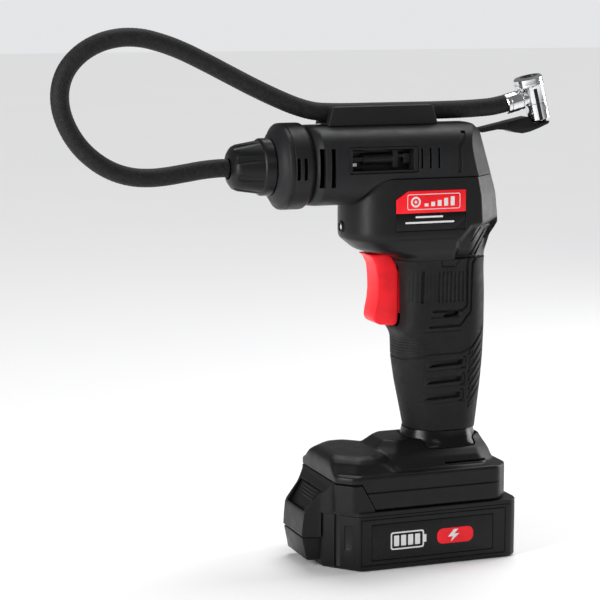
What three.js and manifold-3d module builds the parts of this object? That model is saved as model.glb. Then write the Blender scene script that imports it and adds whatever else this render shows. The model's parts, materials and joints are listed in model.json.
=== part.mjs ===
// Cordless pistol-grip tire inflator: a small piston compressor on a slide-on battery, with a braided hose.
// Millimetres, +Z up, nose towards -X. The origin is the centre of the battery's flat base.
import * as THREE from "three";
import { mergeVertices } from "three/addons/utils/BufferGeometryUtils.js";
import Module from "manifold-3d";

const wasm = await Module();
wasm.setup();

// ---------------------------------------------------------------- driving dimensions
const GAP = 0.3; // clearance between pieces that meet
const WALL = 2.4; // moulded shell thickness
const SLEEVE = 1.9; // thickness of the rubber grip sleeve
const FAR = 400; // half size of a cutting block that reaches past everything

const BARREL = { z: 221.5, halfWidth: 25.8, halfHeight: 21.8, front: -62.7, power: 3 };
const NOSE_Z = 221.3; // axis of the nose ring, the hose nut and the air outlet
const GRIP_CORE_TOP = 168.8;
const HANDLE_BOTTOM = 58;

const MOTOR = { z: 223.5, radius: 13.85, front: -6, rear: 26 };
const MODULE = 0.8; // gear module
const PINION_TEETH = 10;
const GEAR_TEETH = 40;
const CRANK_Z = MOTOR.z - (MODULE * (PINION_TEETH + GEAR_TEETH)) / 2;
const CRANK_THROW = 5;
const ROD_LENGTH = 18;
const CYLINDER_X = -29;
const WRIST_Z = CRANK_Z - CRANK_THROW + ROD_LENGTH;

const CELL = { radius: 9.15, length: 65, pitch: 18.4, count: 5, firstX: -33, z: 11.8 };
const CASE = { top: 30.7, halfWidth: 36, rear: 54.3, front: -58 };
const FOOT = { bottom: 33.5, halfWidth: 34.8, front: -53, rear: 50 };
const RAIL = { neck: 21.3, head: 27.2, neckTop: 39, top: 48.3, rear: 40 };
const BLADE_YS = [-10, 0, 10];

const CHUCK = { x: 81.7, z: 250.2, tilt: -14 }; // the lever pin, and the lean of the chuck in degrees
const HOSE_RADIUS = 5;

// ---------------------------------------------------------------- solids
function solid(geometry) {
  const bare = geometry.index ? geometry.toNonIndexed() : geometry.clone();
  bare.deleteAttribute("normal");
  bare.deleteAttribute("uv");
  const merged = mergeVertices(bare, 1e-4);
  const index = merged.index.array;
  const corners = [];
  for (let i = 0; i < index.length; i += 3) {
    const [a, b, c] = [index[i], index[i + 1], index[i + 2]];
    if (a !== b && b !== c && c !== a) corners.push(a, b, c);
  }
  const build = (triVerts) =>
    new wasm.Manifold(
      new wasm.Mesh({
        numProp: 3,
        vertProperties: merged.attributes.position.array,
        triVerts: new Uint32Array(triVerts),
      }),
    );
  const first = build(corners);
  return first.volume() > 0 ? first : build(corners.reverse());
}

const join = (first, ...others) => others.reduce((whole, next) => whole.add(next), first);
const cut = (first, ...others) => others.reduce((whole, next) => whole.subtract(next), first);
const common = (first, second) => first.intersect(second);

function geometryOf(manifold) {
  const mesh = manifold.getMesh();
  const geometry = new THREE.BufferGeometry();
  geometry.setAttribute("position", new THREE.BufferAttribute(new Float32Array(mesh.vertProperties), 3));
  geometry.setIndex(new THREE.BufferAttribute(new Uint32Array(mesh.triVerts), 1));
  return geometry;
}

function block(x0, x1, y0, y1, z0, z1) {
  const box = new THREE.BoxGeometry(x1 - x0, y1 - y0, z1 - z0);
  return solid(box.translate((x0 + x1) / 2, (y0 + y1) / 2, (z0 + z1) / 2));
}

function rodX(radius, x0, x1, y, z, segments = 20) {
  const rod = new THREE.CylinderGeometry(radius, radius, x1 - x0, segments);
  return solid(rod.rotateZ(Math.PI / 2).translate((x0 + x1) / 2, y, z));
}

function rodY(radius, y0, y1, x, z, segments = 20) {
  const rod = new THREE.CylinderGeometry(radius, radius, y1 - y0, segments);
  return solid(rod.translate(x, (y0 + y1) / 2, z));
}

function rodZ(radius, z0, z1, x, y, segments = 24) {
  const rod = new THREE.CylinderGeometry(radius, radius, z1 - z0, segments);
  return solid(rod.rotateX(Math.PI / 2).translate(x, y, (z0 + z1) / 2));
}

// A solid of revolution about a line along X, from a closed outline of [x, radius] corners.
function turnedX(outline, z, segments = 32) {
  const points = outline.map(([x, radius]) => new THREE.Vector2(radius, x));
  points.push(points[0].clone());
  return solid(new THREE.LatheGeometry(points, segments).rotateZ(-Math.PI / 2).translate(0, 0, z));
}

// A plate with a side outline of [x, z] corners, from y0 to y1.
function sidePlate(outline, y0, y1) {
  const shape = new THREE.Shape(outline.map(([x, z]) => new THREE.Vector2(x, z)));
  const plate = new THREE.ExtrudeGeometry(shape, { depth: y1 - y0, bevelEnabled: false });
  return solid(plate.rotateX(Math.PI / 2).translate(0, y1, 0));
}

// A closed skin over rings of points, every ring convex and with the same number of points.
function loft(rings) {
  const count = rings[0].length;
  const position = rings.flat().flatMap((point) => [point.x, point.y, point.z]);
  const index = [];
  for (let ring = 0; ring + 1 < rings.length; ring++) {
    for (let i = 0; i < count; i++) {
      const a = ring * count + i;
      const b = ring * count + ((i + 1) % count);
      index.push(a, b, b + count, a, b + count, a + count);
    }
  }
  const last = (rings.length - 1) * count;
  for (let i = 1; i + 1 < count; i++) {
    index.push(0, i + 1, i, last, last + i, last + i + 1);
  }
  const geometry = new THREE.BufferGeometry();
  geometry.setAttribute("position", new THREE.Float32BufferAttribute(position, 3));
  geometry.setIndex(index);
  return solid(geometry);
}

const turnX = (radians) => new THREE.Matrix4().makeRotationX(radians);

function moved(manifold, matrix) {
  return solid(geometryOf(manifold).applyMatrix4(matrix));
}

// A plan outline with a rounded front and two cut rear corners. corner 1 is a straight chamfer, 2 is round.
// blunt 2 makes the front half an ellipse, and higher makes it squarer.
function planRing({ z, front, rear, half, nose, cutX, cutY, corner, blunt }) {
  const ring = [];
  const CORNER_STEPS = 4;
  const NOSE_STEPS = 12;
  const reachY = Math.min(cutY, half - 0.5);
  for (let i = 0; i <= CORNER_STEPS; i++) {
    const turn = (i / CORNER_STEPS) * (Math.PI / 2);
    const x = rear - cutX + cutX * Math.cos(turn) ** (2 / corner);
    const y = half - reachY + reachY * Math.sin(turn) ** (2 / corner);
    ring.push(new THREE.Vector3(x, y, z));
  }
  for (let i = 0; i <= NOSE_STEPS; i++) {
    const turn = (i / NOSE_STEPS) * Math.PI;
    const x = front + nose - nose * Math.abs(Math.sin(turn)) ** (2 / blunt);
    const y = half * Math.sign(Math.cos(turn)) * Math.abs(Math.cos(turn)) ** (2 / blunt);
    ring.push(new THREE.Vector3(x, y, z));
  }
  const near = ring.slice(0, CORNER_STEPS + 1).map((point) => new THREE.Vector3(point.x, -point.y, z));
  return [...ring, ...near.reverse()];
}

const planLoft = (stations) => loft(stations.map(planRing));

function inset(stations, thickness) {
  return stations.map((station) => ({
    ...station,
    front: station.front + thickness,
    rear: station.rear - thickness,
    half: station.half - thickness,
    nose: station.nose - thickness,
  }));
}

function station(z, front, rear, half, nose, cutX, cutY, corner, blunt = 2) {
  return { z, front, rear, half, nose, cutX, cutY, corner, blunt };
}

// A rounded-box section across X: power 2 is an ellipse, higher is squarer.
function acrossRing(x, z, halfWidth, halfHeight, power) {
  const ring = [];
  const STEPS = 28;
  for (let i = 0; i < STEPS; i++) {
    const turn = (i / STEPS) * Math.PI * 2;
    const y = halfWidth * Math.sign(Math.cos(turn)) * Math.abs(Math.cos(turn)) ** (2 / power);
    const up = halfHeight * Math.sign(Math.sin(turn)) * Math.abs(Math.sin(turn)) ** (2 / power);
    ring.push(new THREE.Vector3(x, y, z + up));
  }
  return ring;
}

// ---------------------------------------------------------------- named meshes
const inflator = new THREE.Group();

const FINISHES = {
  satinBlack: { color: 0x26272a, roughness: 0.5, metalness: 0 },
  glossBlack: { color: 0x1a1b1d, roughness: 0.25, metalness: 0 },
  rubber: { color: 0x202123, roughness: 0.85, metalness: 0 },
  red: { color: 0xd8232c, roughness: 0.35, metalness: 0 },
  chrome: { color: 0xdadcde, roughness: 0.08, metalness: 1 },
  steel: { color: 0xa9acb0, roughness: 0.35, metalness: 1 },
  aluminium: { color: 0xbfc2c4, roughness: 0.45, metalness: 1 },
  brass: { color: 0xc5a35a, roughness: 0.3, metalness: 1 },
  copper: { color: 0x9c5a36, roughness: 0.5, metalness: 0.6 },
  nylon: { color: 0xe8e4d8, roughness: 0.6, metalness: 0 },
  boardGreen: { color: 0x1d5a36, roughness: 0.6, metalness: 0 },
  cellBlue: { color: 0x2a5fa8, roughness: 0.4, metalness: 0 },
  lens: { color: 0xf2f4f5, roughness: 0.1, metalness: 0 },
  braid: { color: 0x141415, roughness: 0.9, metalness: 0 },
};

function add(name, manifold, finish, parent = inflator) {
  const mesh = new THREE.Mesh(geometryOf(manifold), new THREE.MeshStandardMaterial(FINISHES[finish]));
  mesh.name = name;
  parent.add(mesh);
  return mesh;
}

const leftOnly = block(-FAR, FAR, -FAR, -GAP / 2, -FAR, FAR);
const rightOnly = block(-FAR, FAR, GAP / 2, FAR, -FAR, FAR);

// ---------------------------------------------------------------- outer form of the handle and lower body
const BODY_STATIONS = [
  station(50, 0.6, 38.4, 17.4, 16, 13, 13, 2),
  station(68, 0.2, 38.8, 17.5, 16, 13, 13, 2),
  station(81, -2.4, 40.6, 18, 16, 14, 14, 2),
  station(98, -6, 42.6, 18.6, 16.5, 14, 15, 2),
  station(112, -7.4, 43.6, 19, 17, 14, 15, 2, 2.4),
  station(124, -6.9, 43.9, 19.3, 17, 14, 15, 2, 3),
  station(127.5, -8.4, 44, 19.4, 17, 14, 15, 2, 3),
  station(130.3, -12.6, 44, 19.5, 18, 14, 15, 2, 3),
  station(131.2, -7.8, 44, 19.5, 17, 14, 15, 2, 3.5),
  station(148, -8, 43.8, 20, 17, 14, 15, 2, 3.5),
  station(163, -8.6, 43.4, 20.5, 17, 14, 15, 1.8, 3.5),
  station(167, -10.6, 43.4, 20.8, 17, 14, 15, 1.8, 3.5),
  station(171.4, -15.2, 43.5, 22, 19, 14, 14.5, 1.6, 3),
  station(172.4, -26, 43.7, 22.6, 19, 14, 14.5, 1.5),
  station(174.5, -31.5, 44, 24, 22, 15, 14.5, 1.4),
  station(180.7, -39.2, 45.5, 26.2, 24, 16, 15, 1.2),
  station(184, -39.7, 48.4, 26.5, 24, 17, 15.5, 1),
  station(187.5, -39.7, 50.8, 26.5, 24, 17, 15.5, 1),
  station(204, -39.7, 48.8, 26.5, 24, 16, 15, 1),
  station(214.6, -39.7, 45.6, 26.5, 24, 15, 14.5, 1),
  station(226, -39.7, 42.1, 26.5, 24, 15, 14.5, 1),
];

const bodyOuter = planLoft(BODY_STATIONS);
const gripCore = planLoft(inset(BODY_STATIONS, SLEEVE + GAP));
const bodyHollow = planLoft(
  BODY_STATIONS.map((one) => inset([one], one.z < 170 ? SLEEVE + GAP + 2 : WALL)[0]),
);

// The wavy joint between the lower body and the compressor cover.
const SEAM = [
  [-FAR, 196],
  [-41, 196],
  [-41, 200.2],
  [-38, 203],
  [-32, 209.3],
  [-27, 212.7],
  [-21, 214.6],
  [FAR, 214.6],
];

function aboveSeam(lift) {
  const edge = SEAM.map(([x, z]) => [x, z + lift]);
  return sidePlate([...edge, [FAR, FAR], [-FAR, FAR]], -FAR, FAR);
}

const TRIGGER = { z: 152, halfWidth: 8 };
const pocketHalf = TRIGGER.halfWidth + GAP;
const triggerPocket = block(-50, 6.5, -pocketHalf, pocketHalf, 130.6, 171.9);
const BADGE = { x0: -18, x1: 23.4, z0: 195.8, z1: 208, cutCorner: 7 };

// ---------------------------------------------------------------- rear buttons
const BUTTON_RADIUS = 2.9;
const BUTTONS = [
  { name: "button_power", y: -5.6, z: 207, face: 47.9 },
  { name: "button_mode", y: 5.6, z: 207, face: 47.9 },
  { name: "button_minus", y: -5.6, z: 197, face: 49.6 },
  { name: "button_plus", y: 5.6, z: 197, face: 49.6 },
];

function buttons() {
  for (const { name, y, z, face } of BUTTONS) {
    const cap = rodX(BUTTON_RADIUS, face - 4.2, face + 1, 0, 0, 16);
    const flange = rodX(BUTTON_RADIUS + 1.1, face - 5.2, face - 4.2, 0, 0, 16);
    add(name, join(cap, flange), "rubber").position.set(0, y, z);
  }
  add("button_board", block(39.8, 41.4, -11, 11, 191.5, 210.8), "boardGreen");
}

// ---------------------------------------------------------------- screws and their posts
const SCREWS = [
  { name: "housing_screw_front", x: -24, z: 183 },
  { name: "housing_screw_rear", x: 33, z: 196 },
];

function screwPosts(side) {
  const posts = SCREWS.map(({ x, z }) => {
    const [y0, y1] = side < 0 ? [-25, -GAP / 2] : [GAP / 2, 25];
    return rodY(3.6, y0, y1, x, z, 16);
  });
  return posts;
}

function screws() {
  for (const { name, x, z } of SCREWS) {
    const head = rodY(2.9, 17.5, 19.5, 0, 0, 16);
    const slot = block(-2.2, 2.2, 18.7, 20, -0.4, 0.4);
    const shank = rodY(1.3, -13, 17.5, 0, 0, 12);
    add(name, join(cut(head, slot), shank), "steel").position.set(x, 0, z);
  }
}

// ---------------------------------------------------------------- housing halves
function housing() {
  const band = block(-FAR, FAR, -FAR, FAR, -FAR, GRIP_CORE_TOP);
  const form = join(cut(bodyOuter, band), common(gripCore, band));
  const belowHandle = block(-FAR, FAR, -FAR, FAR, -FAR, HANDLE_BOTTOM);
  const badgeRecess = block(BADGE.x0 - GAP, BADGE.x1 + GAP, -40, -25.6, BADGE.z0 - GAP, BADGE.z1 + GAP);
  const lightHole = rodX(2.8, -50, -34, 0, 187, 16);
  const buttonHoles = BUTTONS.map(({ y, z }) => rodX(BUTTON_RADIUS + 0.4, 44.5, 60, y, z, 16));
  const shell = cut(
    cut(form, bodyHollow, belowHandle, aboveSeam(-GAP / 2)),
    triggerPocket,
    badgeRecess,
    lightHole,
    ...buttonHoles,
  );
  const bores = SCREWS.map(({ x, z }) => rodY(1.7, -14, 40, x, z, 12));
  const sinks = SCREWS.map(({ x, z }) => rodY(3.25, 17.2, 40, x, z, 16));
  for (const [name, side, keep] of [
    ["housing_left", -1, leftOnly],
    ["housing_right", 1, rightOnly],
  ]) {
    const posts = screwPosts(side).map((post) => common(post, cut(bodyOuter, aboveSeam(-GAP / 2))));
    const half = join(common(shell, keep), ...posts);
    add(name, cut(half, ...bores, ...(side > 0 ? sinks : [])), "satinBlack");
  }
}

function gripSleeve() {
  const band = block(-FAR, FAR, -FAR, FAR, 71.6, GRIP_CORE_TOP - GAP);
  const form = common(bodyOuter, band);
  const core = planLoft(inset(BODY_STATIONS, SLEEVE));
  add("grip_sleeve", cut(form, core, triggerPocket), "rubber");
}

function badge() {
  const { x0, x1, z0, z1, cutCorner } = BADGE;
  const outline = [[x0, z0], [x1, z0], [x1, z1], [x0 + cutCorner, z1], [x0, z1 - cutCorner * 0.65]];
  add("badge_plate", sidePlate(outline, -26.6, -25.9), "red");
}

// ---------------------------------------------------------------- compressor cover
const COVER_STATIONS = [
  station(190, -130, 50.4, 26.5, 24, 16, 15, 1),
  station(214.6, -130, 45.6, 26.5, 24, 15, 14.5, 1),
  station(239, -130, 38.3, 26.5, 24, 14, 14.5, 1),
  station(243.6, -130, 33, 26.5, 24, 13, 14.5, 1),
  station(250, -130, 30, 26.5, 24, 13, 14.5, 1),
];

function barrel(shrink) {
  const { z, halfWidth, halfHeight, front, power } = BARREL;
  const rounded = acrossRing(front + shrink, z, 22.6 - shrink, 21.8 - shrink, 2);
  const shoulder = acrossRing(front + 3.5, z, halfWidth - shrink, halfHeight - shrink, power);
  const rear = acrossRing(70, z, halfWidth - shrink, halfHeight - shrink, power);
  return loft([rounded, shoulder, rear]);
}

const BAY = { x0: -45.5, x1: -4.3, z0: 218, z1: 232.5 };
const TALL_VENTS = [[-61.1, -58.3], [-55.2, -52.5]];
const SMALL_VENTS = [[-3.2, -1.9], [1.8, 3.1], [6.9, 8.2]];

// The display stands on the sloping rear face: w runs up the face and u points out of it.
const DISPLAY = { x: 41.9, z: 226.7, tilt: -16.6 };
const displayMatrix = new THREE.Matrix4()
  .makeRotationY(THREE.MathUtils.degToRad(DISPLAY.tilt))
  .setPosition(DISPLAY.x, 0, DISPLAY.z);

function cover() {
  const outer = common(barrel(0), planLoft(COVER_STATIONS));
  const hollow = common(barrel(WALL), planLoft(inset(COVER_STATIONS, WALL)));
  const lower = cut(block(-FAR, FAR, -FAR, FAR, -FAR, FAR), aboveSeam(GAP / 2));
  const frontHole = rodX(14, -80, -50, 0, NOSE_Z, 24);
  const displayHole = moved(block(-7, 7, -9.3, 9.3, -9.3, 9.3), displayMatrix);
  const bayHole = block(BAY.x0, BAY.x1, -40, -20, BAY.z0, BAY.z1);
  const shell = cut(cut(outer, hollow), lower, frontHole, displayHole, bayHole);
  for (const [name, keep, y0, y1] of [
    ["compressor_cover_left", leftOnly, -40, -17],
    ["compressor_cover_right", rightOnly, 17, 40],
  ]) {
    const tall = TALL_VENTS.map(([x0, x1]) => block(x0, x1, y0, y1, 211, 232));
    const small = SMALL_VENTS.map(([x0, x1]) => block(x0, x1, y0, y1, 220, 231));
    add(name, cut(common(shell, keep), ...tall, ...small), "satinBlack");
  }
}

// ---------------------------------------------------------------- accessory bay liner
function accessoryTray() {
  const back = -14.8;
  const floor = -16.4;
  const { x0, x1, z0, z1 } = BAY;
  const liner = block(x0 + GAP, x1 - GAP, -25, back, z0 + GAP, z1 - GAP);
  const hollow = block(-43, -7, -30, floor, 219.5, 231);
  const bar = rodX(3.2, -35, -16.5, floor - 0.4, 225.4, 16);
  const fork = [
    block(-43.2, -35, -19.4, floor + 0.2, 224.2, 226.6),
    block(-43.2, -34, -18.8, floor + 0.2, 229, 230),
    block(-43.2, -34, -18.8, floor + 0.2, 220.4, 221.4),
  ];
  const clip = [
    block(-17.4, -14.8, -20.4, floor + 0.2, 220.6, 230.2),
    block(-15, -11, -19.6, floor + 0.2, 226.2, 227.8),
    block(-11.2, -7.2, -20, floor + 0.2, 223, 228.2),
  ];
  const tray = join(cut(liner, hollow), bar, ...fork, ...clip);
  add("accessory_tray", cut(tray, barrelShaving()), "satinBlack");
  const leafSeat = block(-42.6, -38.9, -20.4, -19.8, 221.8, 223.6);
  const leafEnd = block(-42.6, -41.4, -20.4, floor - GAP, 221.8, 223.6);
  add("accessory_clip", join(leafSeat, leafEnd), "steel");
}

// Everything outside the compressor cover's skin, so that the liner ends flush with it.
function barrelShaving() {
  return cut(block(-50, 0, -40, -10, 210, 240), barrel(0));
}

// ---------------------------------------------------------------- rear display
function display() {
  const group = new THREE.Group();
  group.applyMatrix4(displayMatrix);
  inflator.add(group);
  const frame = cut(block(-2, 1, -9, 9, -9, 9), block(-3, 2, -7.5, 7.5, -5.5, 6.5));
  add("display_bezel", frame, "glossBlack", group);
  add("display_lens", block(-1.2, 0.2, -7.2, 7.2, -5.2, 6.2), "glossBlack", group);
  add("display_board", block(-4, -2.4, -8.6, 8.6, -8.4, 8.4), "boardGreen", group);
}

// ---------------------------------------------------------------- nose ring, hose nut and hose channel
function noseRing() {
  const ring = turnedX(
    [[-81.8, 7.5], [-81.8, 16.4], [-80.4, 19.4], [-76.8, 23.6], [-64.8, 23.6], [-63, 22], [-63, 19.6], [-78.5, 19.6], [-78.5, 7.5]],
    NOSE_Z,
  );
  const slots = [];
  for (const [x0, x1] of [[-73.9, -71.9], [-69.9, -67.9]]) {
    slots.push(block(x0, x1, -30, -18, 215.4, 227.2), block(x0, x1, 18, 30, 215.4, 227.2));
  }
  add("nose_ring", cut(ring, ...slots), "satinBlack");
}

function hoseNut() {
  const outline = [
    [-82.1, 7.2], [-82.1, 15.6], [-88, 15.6], [-89, 14.4], [-101.5, 12.4], [-104.4, 9.4],
    [-105.4, 5.4], [-96, 5.4], [-92, 7.2],
  ];
  add("hose_nut", turnedX(outline, NOSE_Z), "satinBlack");
}

function hoseChannel() {
  const form = sidePlate([[-53, 238], [-48.4, 253.5], [10.1, 253.8], [15.5, 238]], -10.4, 10.4);
  const groove = block(-70, 30, -5.6, 5.6, 244.5, 270);
  add("hose_channel", cut(form, groove, barrel(-GAP)), "satinBlack");
}

// ---------------------------------------------------------------- front lamp
function lamp() {
  add("lamp_lens", join(rodX(2.4, -40.4, -36.9, 0, 187, 16), rodX(3.4, -36.9, -36, 0, 187, 16)), "lens");
}

// ---------------------------------------------------------------- trigger and switch
function trigger() {
  const outline = [
    [-26.6, 171.6], [-24, 169.4], [-22, 165.5], [-21.2, 159], [-21, 152], [-21.5, 146], [-22.8, 139.5],
    [-23.2, 136], [-22.2, 133.6], [-19.4, 132.1], [-11, 131.2], [-9.3, 132.2], [-8.6, 134], [-8.6, 161], [-9.9, 166],
    [-12.6, 170], [-15.4, 171.6],
  ];
  const { z, halfWidth } = TRIGGER;
  const stem = block(-10, -1, -7, 7, 138, 162);
  const springCup = rodX(4.2, -7, 0, 0, z, 16);
  add("trigger", cut(join(sidePlate(outline, -halfWidth, halfWidth), stem), springCup), "red");

  const turns = 4;
  const wire = 0.45;
  const points = [];
  for (let i = 0; i <= turns * 8; i++) {
    const turn = (i / 8) * Math.PI * 2;
    const x = -0.2 + (i / (turns * 8)) * 6.2;
    points.push(new THREE.Vector3(x, 3.2 * Math.cos(turn), z + 3.2 * Math.sin(turn)));
  }
  const path = new THREE.CatmullRomCurve3(points);
  const section = new THREE.Shape([0, 1, 2, 3].map((i) => {
    const turn = (i * Math.PI) / 2;
    return new THREE.Vector2(wire * Math.cos(turn), wire * Math.sin(turn));
  }));
  const coil = new THREE.ExtrudeGeometry(section, { steps: turns * 8, extrudePath: path });
  add("trigger_spring", solid(coil), "steel");

  const body = block(7, 27, -8, 8, 139, 166);
  const leads = [rodZ(1.2, 166, 169, 12, -4, 8), rodZ(1.2, 166, 169, 22, 4, 8)];
  add("trigger_switch", join(body, ...leads), "glossBlack");
}

// ---------------------------------------------------------------- motor and gears
function gearSolid(teeth, x0, x1, z, firstTooth) {
  const pitch = (MODULE * teeth) / 2;
  const tip = pitch + MODULE * 0.9;
  const root = pitch - MODULE * 1.2;
  const corners = [];
  for (let i = 0; i < teeth; i++) {
    const middle = firstTooth + (i / teeth) * Math.PI * 2;
    const step = (Math.PI * 2) / teeth;
    for (const [radius, part] of [[root, -0.36], [tip, -0.12], [tip, 0.12], [root, 0.36]]) {
      const turn = middle + part * step;
      corners.push(new THREE.Vector2(radius * Math.cos(turn), radius * Math.sin(turn)));
    }
  }
  const gear = new THREE.ExtrudeGeometry(new THREE.Shape(corners), { depth: x1 - x0, bevelEnabled: false });
  return solid(gear.rotateX(Math.PI / 2).rotateZ(Math.PI / 2).translate(x0, 0, z));
}

function motor() {
  const { z, radius, front, rear } = MOTOR;
  const can = cut(
    rodX(radius, front, rear, 0, z, 28),
    rodX(11.8, front + 1.5, rear + 1, 0, z, 28),
    rodX(3, front - 1, rear, 0, z, 12),
  );
  add("motor_can", can, "steel");
  add("motor_end_bell", cut(rodX(radius, 26.3, 29.5, 0, z, 28), rodX(1.9, 26, 30, 0, z, 12)), "nylon");
  const shaft = rodX(1.2, -16.4, 36, 0, z, 12);
  add("rotor", join(shaft, rodX(11, 0, 20, 0, z, 24), rodX(5, 20, 25, 0, z, 16)), "copper");
  const pinion = gearSolid(PINION_TEETH, -16, -10.8, z, -Math.PI / 2);
  add("motor_pinion", cut(pinion, rodX(1.5, -17, -10, 0, z, 12)), "brass");

  const blades = [];
  for (let i = 0; i < 7; i++) {
    const blade = block(31, 34.5, -0.6, 0.6, 3, 11.6);
    blades.push(moved(blade, turnX((i / 7) * Math.PI * 2).setPosition(0, 0, z)));
  }
  const hub = join(rodX(3.6, 30.6, 34.6, 0, z, 16), rodX(11.8, 30.2, 31.2, 0, z, 24), ...blades);
  add("cooling_fan", cut(hub, rodX(1.5, 29, 36, 0, z, 12)), "nylon");
}

function gearTrain() {
  const plate = block(-9, -6.4, -14.2, 14.2, 188, 235);
  const stub = rodX(2.3, -20.4, -8.5, 0, CRANK_Z, 16);
  const shaftHole = rodX(3, -10, -5, 0, MOTOR.z, 16);
  add("gear_frame", join(cut(plate, shaftHole), stub), "aluminium");

  const halfTooth = Math.PI / GEAR_TEETH;
  const gear = gearSolid(GEAR_TEETH, -16, -11, CRANK_Z, Math.PI / 2 + halfTooth);
  const disc = rodX(8.1, -25.5, -15.9, 0, CRANK_Z, 24);
  add("crank_gear", cut(join(gear, disc), rodX(2.7, -21, -10, 0, CRANK_Z, 16)), "nylon");
}

// ---------------------------------------------------------------- piston pump
function pump() {
  const x = CYLINDER_X;
  const bigEndZ = WRIST_Z - ROD_LENGTH;
  const shank = block(x - 2, x + 2, -2, 2, bigEndZ, WRIST_Z);
  const bigEnd = rodX(4.2, x - 2, x + 2, 0, bigEndZ, 16);
  const smallEnd = rodX(3.2, x - 2, x + 2, 0, WRIST_Z, 16);
  const crankPin = rodX(1.8, x + 1.9, -25.9, 0, bigEndZ, 12);
  const rod = join(shank, bigEnd, smallEnd, crankPin);
  add("connecting_rod", cut(rod, rodX(1.85, x - 3, x + 3, 0, WRIST_Z, 12)), "aluminium");
  add("wrist_pin", rodX(1.5, x - 7.5, x + 7.5, 0, WRIST_Z, 12), "steel");

  const crown = rodZ(9.5, WRIST_Z - 4.5, WRIST_Z + 5.5, x, 0);
  const rodSlot = block(x - 2.6, x + 2.6, -6.6, 6.6, WRIST_Z - 6, WRIST_Z + 3.6);
  add("piston", cut(crown, rodSlot, rodX(1.8, x - 12, x + 12, 0, WRIST_Z, 12)), "nylon");

  const bore = rodZ(9.8, 213, 234, x, 0);
  add("cylinder", cut(rodZ(12, 214.2, 233, x, 0), bore), "aluminium");
  const head = join(rodZ(12, 233.3, 238.8, x, 0), rodX(2.8, x - 16, x - 8, 0, 236, 12));
  add("cylinder_head", head, "aluminium");

  const path = new THREE.CatmullRomCurve3(
    [[-45.3, 236], [-50, 236], [-54.5, 232], [-58, 225.5], [-62, 221.8], [-66, NOSE_Z]].map(
      ([along, up]) => new THREE.Vector3(along, 0, up),
    ),
  );
  const section = new THREE.Shape([...Array(8).keys()].map((i) => {
    const turn = (i / 8) * Math.PI * 2;
    return new THREE.Vector2(2.6 * Math.cos(turn), 2.6 * Math.sin(turn));
  }));
  add("outlet_tube", solid(new THREE.ExtrudeGeometry(section, { steps: 14, extrudePath: path })), "rubber");
  const fitting = [
    [-66.4, 0], [-66.4, 3.6], [-70.5, 3.6], [-70.5, 9.5], [-77.8, 9.5], [-77.8, 6.6], [-91.5, 6.6],
    [-91.5, 4.2], [-95.4, 4.2], [-95.4, 0],
  ];
  add("outlet_fitting", turnedX(fitting, NOSE_Z, 20), "brass");
}

// ---------------------------------------------------------------- control board
function controlBoard() {
  const board = block(-6, 29, -17, 17, 176.6, 178.2);
  const capacitor = rodX(4.4, 10, 26, -6, 182.4, 16);
  const sensor = block(-3, 5, 4, 12, 178, 184.5);
  const coil = rodZ(5, 178, 185, 20, 9, 16);
  add("control_board", join(board, capacitor, sensor, coil), "boardGreen");
}

// ---------------------------------------------------------------- battery foot of the handle
function footRing(z, inward, front = FOOT.front, rear = FOOT.rear, half = FOOT.halfWidth) {
  const side = half - inward;
  const x0 = front + inward;
  const x1 = rear - inward;
  const cornerX = Math.min(8, side * 0.4);
  const cornerY = Math.min(8.5, side * 0.4);
  const halfRing = [
    [x1, side - cornerY], [x1 - cornerX * 0.25, side - cornerY * 0.35], [x1 - cornerX, side],
    [x0 + cornerX, side], [x0, side - cornerY],
  ];
  const far = halfRing.map(([x, y]) => new THREE.Vector3(x, y, z));
  const near = halfRing.map(([x, y]) => new THREE.Vector3(x, -y, z));
  return [...far, ...near.reverse()];
}

function foot() {
  const slab = loft([footRing(FOOT.bottom, 0), footRing(51, 0), footRing(53.2, 2.4)]);
  const dome = loft([
    footRing(50, 0, -53, -8, 34),
    footRing(56, 0, -52.8, -12, 30),
    footRing(60, 0, -50.5, -17, 22),
    footRing(62.3, 0, -46, -24, 13),
  ]);
  const pedestal = loft([
    footRing(50, 0, -32, 47.6, 29.5),
    footRing(58.5, 0, -27, 45.6, 25),
    footRing(62.3, 0, -24, 44, 20.6),
    footRing(67, 0, -18, 42, 14),
  ]);
  const collarForm = (grow) =>
    loft([
      footRing(62.3 - grow, 0, -4.6 - grow, 43.2 + grow, 20.4 + grow),
      footRing(65.5, 0, -2.4 - grow, 41 + grow, 19 + grow),
      footRing(71.3 + grow, 0, -1 - grow, 40 + grow, 18.2 + grow),
    ]);
  const ledge = sidePlate([[-90, 20], [-90, 49.2], [-40.4, 49.2], [-33, 35.6], [-31.8, 33], [-31.8, 20]], -FAR, FAR);
  const neck = block(-90, 46, -RAIL.neck - 0.5, RAIL.neck + 0.5, 20, 40);
  const head = block(-90, 46, -RAIL.head - 0.4, RAIL.head + 0.4, RAIL.neckTop - 0.4, 48.8);
  const cableHole = block(10, 28, -9, 9, 45, 70);
  const handleSocket = common(planLoft(inset(BODY_STATIONS, SLEEVE)), block(-FAR, FAR, -FAR, FAR, 57.7, 80));
  const body = join(slab, dome, pedestal);
  add("foot", cut(body, ledge, neck, head, cableHole, handleSocket, collarForm(GAP)), "satinBlack");
  add("handle_collar", cut(collarForm(0), planLoft(inset(BODY_STATIONS, SLEEVE))), "glossBlack");

  const terminal = block(40.6, 45.6, -16, 16, 41, 47.5);
  const blades = BLADE_YS.map((y) => block(22, 41, y - 0.4, y + 0.4, 41.2, 46));
  add("terminal_block", join(terminal, ...blades), "glossBlack");
}

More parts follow.
